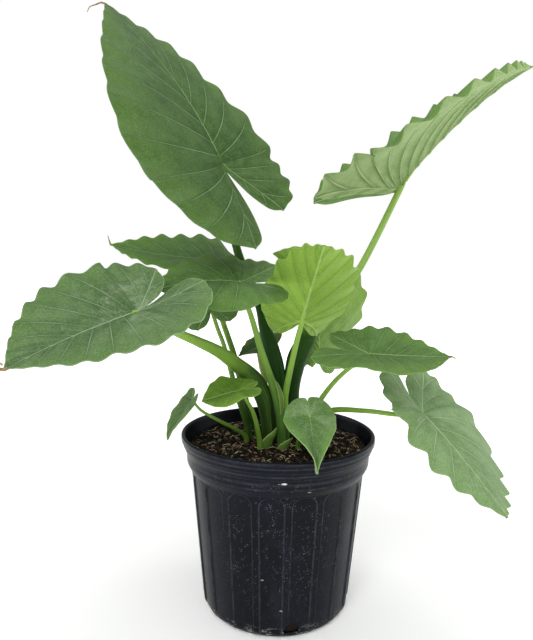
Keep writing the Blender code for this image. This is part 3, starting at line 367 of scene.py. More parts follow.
class Shader:
    """A material or a world, its colour so far and short names for the nodes that go into it."""

    def __init__(self, name, colour=None, owners=bpy.data.materials):
        self.colour = colour
        self.owner = owners.new(name)
        self.owner.use_nodes = True
        self.tree = self.owner.node_tree
        self.surface = self.tree.nodes.get("Principled BSDF")

    def node(self, kind, inputs=(), **settings):
        made = self.tree.nodes.new("ShaderNode" + kind)
        for key, value in settings.items():
            setattr(made, key, value)
        for key, value in dict(inputs).items():
            self.set(made.inputs[key], value)
        return made

    def set(self, socket, value):
        if isinstance(value, bpy.types.NodeSocket):
            self.tree.links.new(value, socket)
        else:
            socket.default_value = value

    def uv(self, layer):
        split = self.node("SeparateXYZ", {0: self.node("UVMap", uv_map=layer).outputs[0]})
        return split.outputs[0], split.outputs[1]

    def position(self):
        return self.node("TexCoord").outputs["Object"]

    def math(self, operation, value, *others):
        """Values put together by one operation, from left to right."""
        for other in others or (0,):
            value = self.node("Math", {0: value, 1: other}, operation=operation).outputs[0]
        return value

    def times(self, *values):
        return self.math("MULTIPLY", *values)

    def plus(self, *values):
        return self.math("ADD", *values)

    def largest(self, *values):
        return self.math("MAXIMUM", *values)

    def stray(self, value, amount):
        """How far a noise is from its middle, times an amount."""
        return self.times(self.plus(value, -0.5), amount)

    def vector(self, operation, first, second=(0, 0, 0), output=0):
        return self.node("VectorMath", {0: first, 1: second}, operation=operation).outputs[output]

    def step(self, value, low, high, start=0.0, end=1.0):
        inputs = {"Value": value, "From Min": low, "From Max": high, "To Min": start, "To Max": end}
        return self.node("MapRange", inputs, interpolation_type="SMOOTHSTEP").outputs[0]

    def mix(self, factor, first, second):
        made = self.node("Mix", data_type="RGBA", clamp_factor=True)
        self.set(made.inputs[0], factor)
        for socket, colour in ((6, first), (7, second)):
            self.set(made.inputs[socket], srgb(*colour) if isinstance(colour, tuple) else colour)
        return made.outputs[2]

    def paint(self, factor, colour):
        """Lays a colour over what is there so far."""
        self.colour = self.mix(factor, self.colour, colour)

    def noise(self, scale, detail=3.0, roughness=0.5, vector=None, stretch=(1, 1, 1)):
        mapped = self.node("Mapping", {"Vector": vector or self.position(), "Scale": stretch}).outputs[0]
        inputs = {"Vector": mapped, "Scale": scale, "Detail": detail, "Roughness": roughness}
        return self.node("TexNoise", inputs).outputs[0]

    def voronoi(self, scale, feature="F1", vector=None):
        inputs = {"Vector": vector or self.position(), "Scale": scale}
        return self.node("TexVoronoi", inputs, feature=feature).outputs["Distance"]

    def stripes(self, across, along, many, long):
        """Noise drawn out into fine lengthwise stripes."""
        lines = self.node("CombineXYZ", {0: self.times(across, many), 1: self.times(along, long)})
        return self.noise(1, 3, 0.6, vector=lines.outputs[0])

    def ramp(self, value, stops):
        made = self.node("ValToRGB", {0: value})
        while len(made.color_ramp.elements) < len(stops):
            made.color_ramp.elements.new(0.5)
        for element, (place, *colour) in zip(made.color_ramp.elements, stops):
            element.position = place
            element.color = srgb(*colour)
        return made.outputs[0]

    def bump(self, height, distance, strength):
        return self.node("Bump", {"Height": height, "Distance": distance, "Strength": strength}).outputs[0]

    def finish(self, roughness, normal=None, **values):
        self.set(self.surface.inputs["Base Color"], self.colour)
        self.set(self.surface.inputs["Roughness"], roughness)
        if normal is not None:
            self.set(self.surface.inputs["Normal"], normal)
        for key, value in values.items():
            self.surface.inputs[key.replace("_", " ")].default_value = value
        return self.owner


def blade_material(name, dark, light, edge, vein, crease_shade=None, vein_width=0.6, rib_width=1.5,
                   vein_strength=0.75, raised=False, roughness=0.5, residue=0.0, glow=0.0, margin=0.25,
                   net_strength=0.42):
    """Leaf tissue with its veins, drawn from the blade's own vein coordinates."""
    s = Shader(name, dark)
    count, out = s.uv("veins")
    spacing, reach = (s.times(each, 100) for each in s.uv("size"))
    flat = s.node("UVMap", uv_map="flat").outputs[0]

    def from_whole(number):
        """Distance in millimetres to where a vein number is whole."""
        return s.times(s.math("PINGPONG", number, 0.5), spacing)

    wobble = s.stray(s.noise(7, 2, vector=flat), 0.54)
    from_vein = s.math("ABSOLUTE", s.plus(from_whole(count), wobble))
    between = from_whole(s.plus(count, 0.5))
    from_rib = s.times(out, reach)
    from_edge = s.times(s.math("SUBTRACT", 1, out), reach)
    narrow = s.step(spacing, 6, 30, 0.3, 1)
    width = s.times(s.step(out, 0, 1, 1.15 * vein_width, 0.5 * vein_width), narrow)
    side_vein = s.times(s.step(s.math("DIVIDE", from_vein, width), 0.3, 1.5, 1, 0),
                        s.step(narrow, 0.3, 0.8, 0.45, 1), s.step(out, 0.6, 1, 1, 0.2))
    second_vein = s.times(s.step(between, 0.1, 0.7, 0.28, 0), s.step(out, 0.1, 0.9, 1, 0))
    rib = s.step(from_rib, rib_width * 0.35, rib_width * 1.15, 1, 0)
    rim = s.step(from_edge, 0.4, 1.2, margin, 0)
    lines = s.largest(side_vein, rib, rim)
    fine = s.step(s.voronoi(26, "DISTANCE_TO_EDGE", vector=flat), 0, 0.09, net_strength, 0)
    broad = s.noise(1.3, 3, 0.6, vector=flat)
    mottle = s.noise(4.5, 6, 0.7, vector=flat)
    speckle = s.noise(10, 4, 0.65, vector=flat)
    blend = s.plus(s.step(broad, 0.3, 0.7, 0, 0.45), s.step(mottle, 0.36, 0.64, 0, 0.4),
                   s.step(speckle, 0.3, 0.7, 0, 0.25))
    s.paint(blend, light)
    outer = s.times(s.step(out, 0.45, 1.05, 0, 0.8), s.step(broad, 0.25, 0.65, 1, 0.35))
    s.paint(outer, edge)
    # Painted shade beside each side vein, fading out within 5 mm: in the crease colour where one is given,
    # else in the dark one
    shade = s.step(from_vein, 0.6, 5, 0.6 if crease_shade else 0.3, 0)
    s.paint(shade, crease_shade or dark)
    s.paint(s.times(s.largest(second_vein, fine), 0.45), vein)
    s.paint(s.times(lines, vein_strength), vein)
    shine = s.step(speckle, 0.3, 0.75, roughness - 0.05, roughness + 0.08)
    if residue:
        patchy = s.step(s.noise(3.6, 8, 0.8, vector=flat), 0.46, 0.68, 0, residue)
        dusty = s.times(patchy, s.step(s.vector("LENGTH", flat, output="Value"), 0.1, 0.95, 1, 0.12))
        s.paint(dusty, (184, 194, 170))
        shine = s.plus(shine, s.times(dusty, 0.25))
    line_height, net_height = (1, 0.6) if raised else (-1, -0.9)
    relief = s.plus(s.times(lines, line_height), s.times(fine, net_height), s.times(speckle, 0.4))
    values = {"Specular_IOR_Level": 0.1}
    if glow:
        values.update(Subsurface_Weight=glow, Subsurface_Scale=0.004, Subsurface_Radius=(0.6, 1, 0.2))
    return s.finish(shine, s.bump(relief, 0.5 * MM, 0.8), **values)


def stem_material(name, stripe, *stops):
    """Petiole skin: its colour changes along it, under fine lengthwise stripes."""
    s = Shader(name)
    around, along = s.uv("veins")
    streak = s.stripes(around, along, 26, 2.5)
    blotch = s.noise(60, 3, 0.6)
    s.colour = s.ramp(s.plus(along, s.stray(blotch, 0.12)), stops)
    s.paint(s.step(streak, 0.45, 0.75, 0, 0.25), stripe)
    return s.finish(s.step(blotch, 0.3, 0.7, 0.42, 0.54), s.bump(streak, 0.5 * MM, 0.5),
                    Specular_IOR_Level=0.1)


def sheath_material():
    """A flap of petiole sheath: green, fading to a thin pale edge."""
    s = Shader("sheath_flap", (60, 92, 34))
    across, along = s.uv("veins")
    streak = s.stripes(across, along, 9, 1.5)
    s.paint(s.noise(220, 4, 0.6), (82, 116, 46))
    s.paint(s.step(streak, 0.35, 0.7), (112, 146, 66))
    s.paint(s.step(s.math("ABSOLUTE", across), 0.72, 1, 0, 0.85), (172, 194, 120))
    return s.finish(0.5, s.bump(streak, 0.5 * MM, 0.6), Specular_IOR_Level=0.12)


# Smears of dried mix on the pot: place and reach in millimetres, and strength
SMEARS = (((8.5, -130, 216.5), 9, 1), ((40, -124, 204), 4, 0.7), ((-17, -111, 83), 4, 0.6),
          ((8, -108, 41), 5, 0.8))


def pot_material():
    """Black plastic with painted highlights along the flutes' edges and the rim's ridges, and specks and
    smears of dried mix.
    """
    s = Shader("black_polypropylene", (5, 7, 13))
    place = s.position()
    height = s.node("SeparateXYZ", {0: place}).outputs[2]
    inset, ridge = s.uv("edge")
    mottle = s.noise(9, 4, 0.6)
    fine = s.noise(620, 3, 0.7)
    s.paint(s.step(mottle, 0.35, 0.7), (9, 13, 25))
    dust = s.step(s.noise(30, 6, 0.72, stretch=(1, 1, 0.4)), 0.46, 0.76, 0, 0.09)
    s.paint(dust, (84, 92, 108))
    # Painted highlight: pale lines along the flutes' edges and on the rim's listed ridges, broken up by noise
    painted_highlight = s.largest(s.step(s.math("ABSOLUTE", inset), 0, 0.15, 0.17, 0),
                     s.step(ridge, 0.2, 1, 0, 0.13))
    painted_highlight = s.times(painted_highlight, s.step(s.noise(60, 4, 0.7), 0.35, 0.6, 0.25, 1))
    s.paint(painted_highlight, (116, 122, 130))
    patch = s.step(s.vector("DISTANCE", place, (0.012, -0.115, 0.13), "Value"), 0.03, 0.12, 1, 0.3)
    specks = s.step(s.plus(fine, s.times(s.noise(45, 3, 0.6), 0.5)), 0.92, 1.02)
    larger = s.times(s.step(s.voronoi(430), 0.06, 0.24, 1, 0), s.step(s.noise(190, 0), 0.56, 0.62))
    specks = s.times(s.largest(specks, larger), patch)
    s.paint(s.times(specks, 0.6), (170, 178, 196))
    for spot, reach, strength in SMEARS:
        off = s.vector("SUBTRACT", place, tuple(each * MM for each in spot))
        far = s.vector("LENGTH", s.vector("MULTIPLY", off, (1, 0.3, 3.5)), output="Value")
        ragged = s.plus(far, s.stray(s.noise(260, 4, 0.8), reach * 1.8 * MM))
        smear = s.step(ragged, reach * 0.3 * MM, reach * 0.6 * MM, strength, 0)
        s.paint(smear, (214, 218, 224))
    scuffs = s.times(s.step(s.noise(70, 6, 0.8, stretch=(1, 1, 3)), 0.54, 0.6),
                     s.step(height, 0.003, 0.02, 0.9, 0))
    s.paint(scuffs, (184, 184, 180))
    texture = s.plus(fine, s.times(mottle, 1.5))
    shine = s.plus(s.step(mottle, 0.3, 0.7, 0.3, 0.4), s.times(dust, 0.7), s.times(specks, 0.3))
    return s.finish(shine, s.bump(texture, 0.25 * MM, 0.6), Specular_IOR_Level=0.12)


def soil_material():
    """Peat and bark: each crumb takes its own shade from its tint coordinate."""
    s = Shader("potting_mix")
    tint, _ = s.uv("veins")
    mottle = s.noise(260, 4, 0.7)
    s.colour = s.ramp(s.plus(tint, s.stray(mottle, 0.6)),
                      [(0, 13, 11, 9), (0.4, 36, 28, 23), (0.62, 78, 61, 47), (0.88, 166, 142, 112),
                       (1, 214, 198, 170)])
    relief = s.plus(mottle, s.noise(900, 3, 0.7))
    return s.finish(0.92, s.bump(relief, 1.2 * MM, 0.9), Specular_IOR_Level=0.15)


def plain_material(name, colour, second, scale, roughness):
    s = Shader(name, colour)
    mottle = s.noise(scale, 4, 0.6)
    s.paint(s.step(mottle, 0.35, 0.65), second)
    return s.finish(roughness, s.bump(mottle, 0.5 * MM, 0.7), Specular_IOR_Level=0.35)


def add_object(name, data):
    made = bpy.data.objects.new(name, data)
    bpy.context.scene.collection.objects.link(made)
    return made


def primitive(name, build_shape, **settings):
    """An object made by one of Blender's own operators for simple shapes."""
    build = bmesh.new()
    build_shape(build, cap_ends=True, **settings)
    mesh = bpy.data.meshes.new(name)
    build.to_mesh(mesh)
    build.free()
    return add_object(name, mesh)


def smooth_faces(mesh, sharp):
    mesh.shade_smooth()
    mesh.set_sharp_from_angle(angle=math.radians(sharp))


def make_mesh(name, points, faces, layers, materials, face_materials=None, sharp=60):
    """An object from points in millimetres and faces, with values at the points as UV layers."""
    mesh = bpy.data.meshes.new(name)
    mesh.from_pydata((np.asarray(points) * MM).tolist(), [], faces)
    corners = np.zeros(len(mesh.loops), np.int32)
    mesh.loops.foreach_get("vertex_index", corners)
    for layer, values in layers.items():
        made = mesh.uv_layers.new(name=layer)
        made.uv.foreach_set("vector", np.asarray(values, np.float32)[corners].ravel())
    for each in materials:
        mesh.materials.append(each)
    if face_materials is not None:
        mesh.polygons.foreach_set("material_index", np.asarray(face_materials, np.int32))
    smooth_faces(mesh, sharp)
    mesh.update()
    return add_object(name, mesh)


def vertex_normals(points, faces):
    total = np.zeros_like(points)
    for face in (np.array([f for f in faces if len(f) == n]) for n in (3, 4)):
        first, middle, last = (points[face[:, i]] - points[face[:, 0]] for i in (1, 2, -1))
        normal = np.cross(first, middle) + (np.cross(middle, last) if face.shape[1] == 4 else 0)
        for corner in range(face.shape[1]):
            np.add.at(total, face[:, corner], normal)
    return total / np.maximum(np.linalg.norm(total, axis=1), 1e-12)[:, None]


def ring_faces(rings, sides, start=0):
    """Faces between rings of points, the rings numbered one after the other from a start."""
    faces = []
    for low in range(start, start + (rings - 1) * sides, sides):
        ring = list(range(low, low + sides))
        for a, b in zip(ring, ring[1:] + ring[:1]):
            faces.append((a, b, b + sides, a + sides))
    return faces


def tube_faces(rings, sides, start=0):
    """Faces of a tube with an end on its first ring and on its last."""
    last = start + (rings - 1) * sides
    ends = [tuple(range(start, start + sides))[::-1], tuple(range(last, last + sides))]
    return ring_faces(rings, sides, start) + ends


# How far along each vein interval and how far out on a vein a blade has its points
FINE_ROWS = (0, 0.035, 0.09, 0.17, 0.28, 0.4, 0.5, 0.6, 0.72, 0.83, 0.91, 0.965)
COARSE_ROWS = (0, 0.06, 0.17, 0.33, 0.5, 0.67, 0.83, 0.94)
FINE_OUTS = np.array([0, 0.012, 0.03, 0.055, 0.09, 0.14, 0.2, 0.27, 0.34, 0.42, 0.5, 0.58, 0.66, 0.74, 0.81,
                      0.87, 0.92, 0.955, 0.98, 1])
COARSE_OUTS = np.array([0, 0.03, 0.08, 0.16, 0.28, 0.42, 0.56, 0.7, 0.82, 0.91, 0.965, 1])
INNER_OUTS = np.array([0.06, 0.16, 0.32, 0.5, 0.7, 0.88, 1])
# A blade shorter than this has fewer points
SMALL_BLADE = 90
# Where veins run together, this stands for the distance between them and to the margin
AT_END = 5


def blade_object(leaf, upper, lower):
    """The whole blade: veined upper face, ribbed lower face and the thin edge between them."""
    small = leaf.length < SMALL_BLADE
    rows, outs, vein_rise = (COARSE_ROWS, COARSE_OUTS, 0.35) if small else (FINE_ROWS, FINE_OUTS, 0.7)
    lobe_veins, midrib_veins = leaf.veins
    total = lobe_veins + midrib_veins
    counts = [k + step for k in range(total) for step in rows][1:]
    joint_row = counts.index(lobe_veins)
    points, marks, faces = [], [], []

    def add(side, count, out, flat, spacing, reach, lift=0.0):
        """Adds points with their vein coordinates and returns their numbers."""
        flat = np.atleast_2d(flat)
        across, along = flat[:, 0], flat[:, 1]
        start = len(points)
        points.extend(leaf.place(across, along, np.broadcast_to(lift, len(flat)), side))
        coordinates = (count, out, spacing / 100, reach / 100, side * across / 100, along / 100)
        marks.extend(np.stack(np.broadcast_arrays(*coordinates), -1))
        return list(range(start, len(points)))

    def add_row(side, count, out):
        """Adds points along one vein, or along a line between two veins, lifted off the smooth blade."""
        start, end = vein_point(leaf, side, count, [0, 1])
        whole = end - start
        reach = float(np.linalg.norm(whole))
        across = (vein_point(leaf, side, min(count + 0.02, total - 0.01), 0.5)
                  - vein_point(leaf, side, max(count - 0.02, 0.01), 0.5))
        apart = abs(across[0] * whole[1] - across[1] * whole[0]) / max(reach, 1) / 0.04
        spacing = apart * np.clip(0.35 + 1.3 * out, 0, 1.6)
        from_vein = np.abs(count - round(count)) * spacing
        sharp = abs(math.sin(math.pi * count))
        even = min(1, vein_spacing(leaf, count) / WIDE_SPACING) * min(1, 1.5 * count)
        lift = ripple(leaf, side, count, out) - 0.35 * np.exp(-(from_vein / 1.2) ** 2) * (1 - 0.6 * out)
        lift = lift + leaf.pleat * sharp * np.clip(out * 3, 0, 1) * (1 - out ** 3) * even
        lift = lift + leaf.flutter * (1 - 2 * sharp ** 1.3) * out ** 3 * even
        return add(side, count, out, vein_point(leaf, side, count, out), spacing, reach, lift)

    tip = add(1, total, 0, (0, leaf.length), AT_END, AT_END)[0]
    gap = leaf.notch * leaf.lobe
    notch = add(1, lobe_veins, 1, (0, -gap), AT_END, gap)[0]
    midrib = {row: add_row(1, counts[row], outs[:1]) for row in range(joint_row, len(counts))}
    for side in (1, -1):
        grid = []
        for row, count in enumerate(counts):
            shared = midrib.get(row, [])
            grid.append(shared + add_row(side, count, outs[len(shared):]))
        lobe_end = add(side, 0, 0, vein_point(leaf, side, 0, 0), AT_END, AT_END)[0]
        run = []
        for a, b in zip(np.transpose(grid), np.transpose(grid)[1:]):
            run += [(lobe_end, b[0], a[0]), (a[-1], b[-1], tip), *zip(a, b, b[1:], a[1:])]
        inside = []
        for count, line in zip(counts, grid[:joint_row]):
            spine = vein_point(leaf, side, count, 0)
            across = inner_margin(leaf, side, np.array([count / lobe_veins]))[0] - spine
            flat = spine + across * INNER_OUTS[:, None]
            near = leaf.lobe / lobe_veins * 0.8
            inside.append(line[:1] + add(side, count, INNER_OUTS, flat, near, np.linalg.norm(across)))
        if side == 1:
            flat = np.array([0.0, -gap]) * INNER_OUTS[:-1, None]
            centre = add(side, lobe_veins, INNER_OUTS[:-1], flat, AT_END, gap)
        inside.append(midrib[joint_row] + centre + [notch])
        for low, high in zip(inside, inside[1:]):
            run += zip(high, high[1:], low[1:], low)
        run += [(a, b, lobe_end) for a, b in zip(inside[0], inside[0][1:])]
        faces += run if side == 1 else [face[::-1] for face in run]

    points, marks = np.array(points), np.array(marks)
    count, out, spacing, reach = marks[:, :4].T
    near_vein = np.abs(count - np.round(count)) * spacing * 100
    near_rib = out * reach * 100
    slimmer = np.clip(1.15 - count / total, 0.25, 1) * np.clip(0.4 + count / lobe_veins, 0, 1)
    thick = 1.0 + (leaf.rib - 1) * slimmer * np.exp(-(near_rib / (0.8 * leaf.rib)) ** 2)
    thick += vein_rise * (1 - 0.75 * out) * np.exp(-(near_vein / 0.9) ** 2)
    under = points - vertex_normals(points, faces) * thick[:, None]
    n = len(points)
    edges = dict.fromkeys(pair for face in faces for pair in zip(face, face[1:] + face[:1]))
    rim = [(b, a, a + n, b + n) for a, b in edges if (b, a) not in edges]
    below = [tuple(i + n for i in face[::-1]) for face in faces]
    sides = [0] * len(faces) + [1] * len(below) + [0] * len(rim)
    marks = np.tile(marks, (2, 1))
    return make_mesh("leaf_" + leaf.name, np.vstack([points, under]), faces + below + rim,
                     {"veins": marks[:, :2], "size": marks[:, 2:4], "flat": marks[:, 4:]}, [upper, lower],
                     sides)


def tube_object(name, path, radii, facing, across, material, sharp=60):
    """A closed tube along a path, by its radii all round each ring and the ring's two directions."""
    rings, sides = radii.shape
    turns = 2 * math.pi * np.arange(sides) / sides
    spokes = np.cos(turns)[:, None] * facing[:, None] + np.sin(turns)[:, None] * across[:, None]
    points = path[:, None] + radii[..., None] * spokes
    layer = np.stack(np.meshgrid(turns / (2 * math.pi), np.linspace(0, 1, rings)), -1)
    return make_mesh(name, points.reshape(-1, 3), tube_faces(rings, sides),
                     {"veins": layer.reshape(-1, 2)}, [material], sharp=sharp)


STEM_RINGS, STEM_SIDES = 84, 40
THREAD_RINGS, THREAD_SIDES = 22, 10
SHEET_ROWS, SHEET_COLUMNS = 15, 9
# A petiole thicker than this at its foot has the longer sheath, as a fraction of its length
THICK_STEM = 6
LONG_SHEATH, SHORT_SHEATH = 0.42, 0.3


def stem_object(leaf, foot, way, radii, material):
    """A petiole: round above and a grooved sheath below, running out under its blade's midrib."""
    tangent, _, normal = (axis[0] for axis in leaf.axes([0.0]))
    last = leaf.joint - normal * (leaf.rib * 0.55 + radii[-1] * 0.35)
    run_out = np.array([0.03, 0.075, 0.13]) * leaf.length
    tail = leaf.place(np.zeros(3), run_out, np.array([-0.75, -0.6, -0.45]) * leaf.rib, 1)
    stations = np.array([(*foot, SOIL_LEVEL - 12), (*foot, SOIL_LEVEL + 12), *way, last, *tail], float)
    sizes = np.array([radii[0], *radii, 0.72 * radii[-1], 0.42 * radii[-1], 0.12 * radii[-1]])
    distance = lengths(stations)
    part, path, ahead = even_run(stations, STEM_RINGS)
    radius = np.interp(part, distance / distance[-1], sizes)
    lean = leaf.joint - np.array([*foot, leaf.joint[2]])
    inward = -lean / max(np.linalg.norm(lean), 1) + np.array([0, 0, 0.3])
    facing = inward * (1 - part[:, None] ** 3) - tangent * part[:, None] ** 3
    facing -= ahead * np.sum(facing * ahead, axis=1)[:, None]
    facing = unit(facing)
    sheath = LONG_SHEATH if radii[0] > THICK_STEM else SHORT_SHEATH
    cover = np.clip((sheath - part) / 0.1, 0, 1)[:, None]
    turns = 2 * math.pi * np.arange(STEM_SIDES) / STEM_SIDES
    degrees = np.degrees(np.abs((turns + math.pi) % (2 * math.pi) - math.pi))
    groove = -0.34 * np.exp(-(degrees / 24) ** 2)
    wings = 0.2 * np.exp(-((degrees - 40) / 8) ** 2)
    shallow = -0.13 * np.exp(-(degrees / 30) ** 2)
    outline = 1 + cover * (groove + wings) + (1 - cover) * shallow
    return tube_object("stem_" + leaf.name, path, radius[:, None] * outline, facing, np.cross(ahead, facing),
                       material, sharp=50)


def thread_object(name, spine, radii, material):
    """A thin round thread, such as the dried tip of a leaf."""
    part, path, ahead = even_run(spine, THREAD_RINGS)
    across = unit(np.cross(ahead, (0.3, 1, 0.2)))
    rings = np.tile(spread(radii, part)[:, None], THREAD_SIDES)
    return tube_object(name, path, rings, across, np.cross(ahead, across), material)


def sheet_object(name, spine, widths, across, cup, thick, material, ragged):
    """A small cupped sheet along a spine, closed all round, such as a sheath's flap."""
    rows, columns = SHEET_ROWS, SHEET_COLUMNS
    part, centre, ahead = even_run(spine, rows)
    half = spread(widths, part)
    sideways = unit(np.array(across, float) - ahead * (ahead @ np.array(across, float))[:, None])
    normal = np.cross(sideways, ahead)
    points, layer = [], []
    for depth in (0, thick):
        for i in range(rows):
            for k in np.linspace(-1, 1, columns):
                uneven = 1 + ragged * wander(i * 0.7, 3 * k, len(spine))
                bulge = cup * half[i] * (k * k - 0.35) + 0.25 * half[i] * ragged * math.sin(3 * k + i)
                points.append(centre[i] + sideways[i] * (k * half[i] * uneven) + normal[i] * (bulge - depth))
                layer.append((k, part[i]))
    grid = np.arange(rows * columns).reshape(rows, columns)
    size = grid.size
    faces = []
    for a, b, c, d in zip(grid[:-1, :-1].flat, grid[:-1, 1:].flat, grid[1:, 1:].flat, grid[1:, :-1].flat):
        faces += [(a, b, c, d), (size + a, size + d, size + c, size + b)]
    loop = [*grid[0], *grid[1:, -1], *grid[-1, -2::-1], *grid[-2:0:-1, 0]]
    faces += [(b, a, a + size, b + size) for a, b in zip(loop, loop[1:] + loop[:1])]
    return make_mesh(name, points, faces, {"veins": layer}, [material])


def body_radius(height):
    """The pot's radius below its shoulder, between the flutes."""
    top = POT_HEIGHT - SHOULDER_DROP
    return BASE_RADIUS + (BODY_TOP_RADIUS - BASE_RADIUS) * (height - BASE_CORNER) / (top - BASE_CORNER)


# The pot's rim in profile, as distances inward from a radius and down from the top
INNER_STEPS = ((BODY_TOP_RADIUS, ((3.4, 52),)),
               (BAND_RADIUS, ((4.4, 43), (3.4, 38), (3.2, 30), (2.6, 26))),
               (RIM_RADIUS, ((7.2, 14), (6, 6), (5.2, 1.4), (4.6, 0.5))))
OUTER_STEPS = ((RIM_RADIUS, ((3.4, 0), (1.6, 0.2), (0.5, 1), (0, 2.4), (0.1, 6), (0.5, 9), (1.3, 9.9),
                             (2.2, 10.3), (2.6, 12), (3, 14.2), (3, 15), (3.9, 15.6), (4.5, 17),
                             (5.2, 20), (6.4, 22.6), (7.1, 24), (7.2, 24.9))),
               (BAND_RADIUS, ((-0.6, 25.6), (-0.2, 27), (0, 31), (0.2, 35), (0.5, 38), (1.3, 40.5),
                              (2.6, 43))),
               (BODY_TOP_RADIUS, ((-2.6, 46), (-1.3, 48), (-0.4, 49.6), (0, 51))))
# How far below the top the ridges are that get a painted highlight line
HIGHLIGHT_RIDGES = (2.4, 9, 15, 20, 24.9, 31, 38)
POT_SHARP = 45


def pot_profile():
    """Radii and heights from the middle of the floor over the rim to the middle of the underside.

    With them comes the number of points on the inside, and on the inside and the rim.
    """
    def steps(table):
        return [(radius - inward, POT_HEIGHT - drop) for radius, offsets in table for inward, drop in offsets]

    def corner(round_radius, *degrees):
        for turn in np.radians(degrees):
            yield (BASE_RADIUS - BASE_CORNER + round_radius * math.sin(turn),
                   BASE_CORNER - round_radius * math.cos(turn))

    inside = [(0, POT_WALL), (40, POT_WALL), (BASE_RADIUS - BASE_CORNER, POT_WALL)]
    inside += corner(BASE_CORNER - POT_WALL, 22, 45, 68, 90)
    inside += [(body_radius(height) - POT_WALL, height) for height in (60, 110, 160)]
    inside += steps(INNER_STEPS)
    upper = inside + steps(OUTER_STEPS)
    heights = np.r_[np.arange(POT_HEIGHT - SHOULDER_DROP, 176, -1.1), np.arange(176, 36, -7),
                    np.arange(36, BASE_CORNER + 1, -2.6)]
    walls = [(body_radius(height), height) for height in heights]
    profile = upper + walls + list(corner(BASE_CORNER, *range(90, -1, -10))) + [(40, 0), (0, 0)]
    return profile, len(inside), len(upper)


def pot_object():
    """The pot turned from its profile, with arched flutes pressed in and drain holes cut out."""
    profile, inside, upper = pot_profile()
    pitch = 360 / FLUTES
    steps = np.array([-10, -9, -8.4, -8.0, -7.6, -7.2, -6.6, -5.8, -5, -4.2, -3.4, -2.6, -1.8, -0.9])
    steps = np.r_[steps, 0, -steps[:0:-1]] * pitch / 20
    turns = np.radians(np.concatenate([FIRST_FLUTE_DEGREES + pitch * k + steps for k in range(FLUTES)]))
    offsets = np.abs(np.radians(np.tile(steps, FLUTES)))
    columns = len(turns)
    arch_top = POT_HEIGHT - FLUTE_TOP_DROP
    arch = FLUTE_ARCH_RISE * body_radius(arch_top) * math.tan(FLUTE_HALF_ANGLE)
    spring = arch_top - arch
    ridges = {round(POT_HEIGHT - drop, 2) for drop in HIGHLIGHT_RIDGES}
    points, edge = [], []
    for index, (radius, height) in enumerate(profile[1:-1], 1):
        cut = np.zeros(columns)
        inset = np.full(columns, -9.0)
        if index >= upper and height < arch_top + 2:
            wide = radius * FLUTE_HALF_ANGLE
            if height > spring:
                wide *= math.sqrt(max(0, 1 - ((height - spring) / arch) ** 2))
            inset = wide - offsets * radius
            if height > spring:
                inset = np.minimum(inset, (arch_top - height) * 0.8)
            t = np.clip((inset + 0.6) / 1.5, 0, 1)
            cut = FLUTE_DEPTH * t * t * (3 - 2 * t) * min(1, max(0, (height - 1.5) / 10))
        # Outer rows on the listed ridges carry the painted highlight line
        painted_highlight = 1.0 if round(height, 2) in ridges and index > inside + 1 else 0.0
        edge.extend((each / 10, painted_highlight) for each in inset)
        points.append(np.stack([(radius - cut) * np.cos(turns), (radius - cut) * np.sin(turns),
                                np.full(columns, height)], -1))
    rows = len(points)
    points = np.vstack(points + [[[0, 0, profile[0][1]], [0, 0, profile[-1][1]]]])
    faces = [(a, d, c, b) for a, b, c, d in ring_faces(rows, columns)]
    floor, under = rows * columns, rows * columns + 1
    last = floor - columns
    for j in range(columns):
        k = (j + 1) % columns
        faces.append((floor, j, k))
        faces.append((under, last + k, last + j))
    pot = make_mesh("nursery_pot", points, faces, {"edge": edge + [(-0.9, 0)] * 2}, [pot_material()],
                    sharp=POT_SHARP)
    cutters = []
    for index in range(DRAIN_HOLES):
        turn = FIRST_DRAIN_HOLE + 2 * math.pi * index / DRAIN_HOLES
        cutter = primitive(f"drill_{index}", bmesh.ops.create_cone, segments=40, radius1=DRAIN_RADIUS * MM,
                           radius2=DRAIN_RADIUS * MM, depth=DRILL_LENGTH * MM)
        cutter.rotation_euler = (0, DRAIN_TILT, turn)
        reach = (BASE_RADIUS - 3) * MM
        cutter.location = (reach * math.cos(turn), reach * math.sin(turn), DRAIN_HEIGHT * MM)
        cutters.append(cutter)
        hole = pot.modifiers.new(f"hole_{index}", "BOOLEAN")
        hole.object = cutter
        hole.operation = "DIFFERENCE"
    bpy.context.view_layer.update()
    evaluated = pot.evaluated_get(bpy.context.evaluated_depsgraph_get())
    mesh = bpy.data.meshes.new_from_object(evaluated)
    pot.modifiers.clear()
    pot.data = mesh
    smooth_faces(mesh, POT_SHARP)
    for cutter in cutters:
        bpy.data.objects.remove(cutter, do_unlink=True)
    return pot


def soil_height(x, y):
    """Height of the potting mix's surface, from its lumps down to its crumbs."""
    height = SOIL_LEVEL + SOIL_MOUND * (1 - math.hypot(x, y) / SOIL_RADIUS)
    for number, (lift, scale) in enumerate(((3.2, 0.03), (2.2, 0.11), (1.5, 0.35)), 1):
        height += lift * wander(x * scale, y * scale, number)
    return height


def icosphere(subdivisions):
    """Points and faces of a ball with a radius of one."""
    ball = bmesh.new()
    bmesh.ops.create_icosphere(ball, subdivisions=subdivisions, radius=1)
    shape = np.array([v.co for v in ball.verts]), [tuple(v.index for v in f.verts) for f in ball.faces]
    ball.free()
    return shape


SOIL_SEED = 12
SOIL_COLUMNS = 180
FIBRE_COUNT, FIBRE_ROWS = 760, 7
# Crumbs, lumps and bark: how many, how finely divided, their half sizes and their shades
CRUMBS = ((3600, 1, ((0.6, 1.9), (0.5, 1.4), (0.4, 1.2)), (0, 0.72)),
          (560, 2, ((1.6, 4.2), (1, 2.4), (0.7, 1.7)), (0, 0.62)),
          (70, 2, ((4, 8), (1.2, 2.4), (0.7, 1.4)), (0.3, 0.9)))
PERLITE = (16, 2, ((0.9, 2.1), (0.8, 1.8), (0.8, 1.5)), (0.5, 0.5))


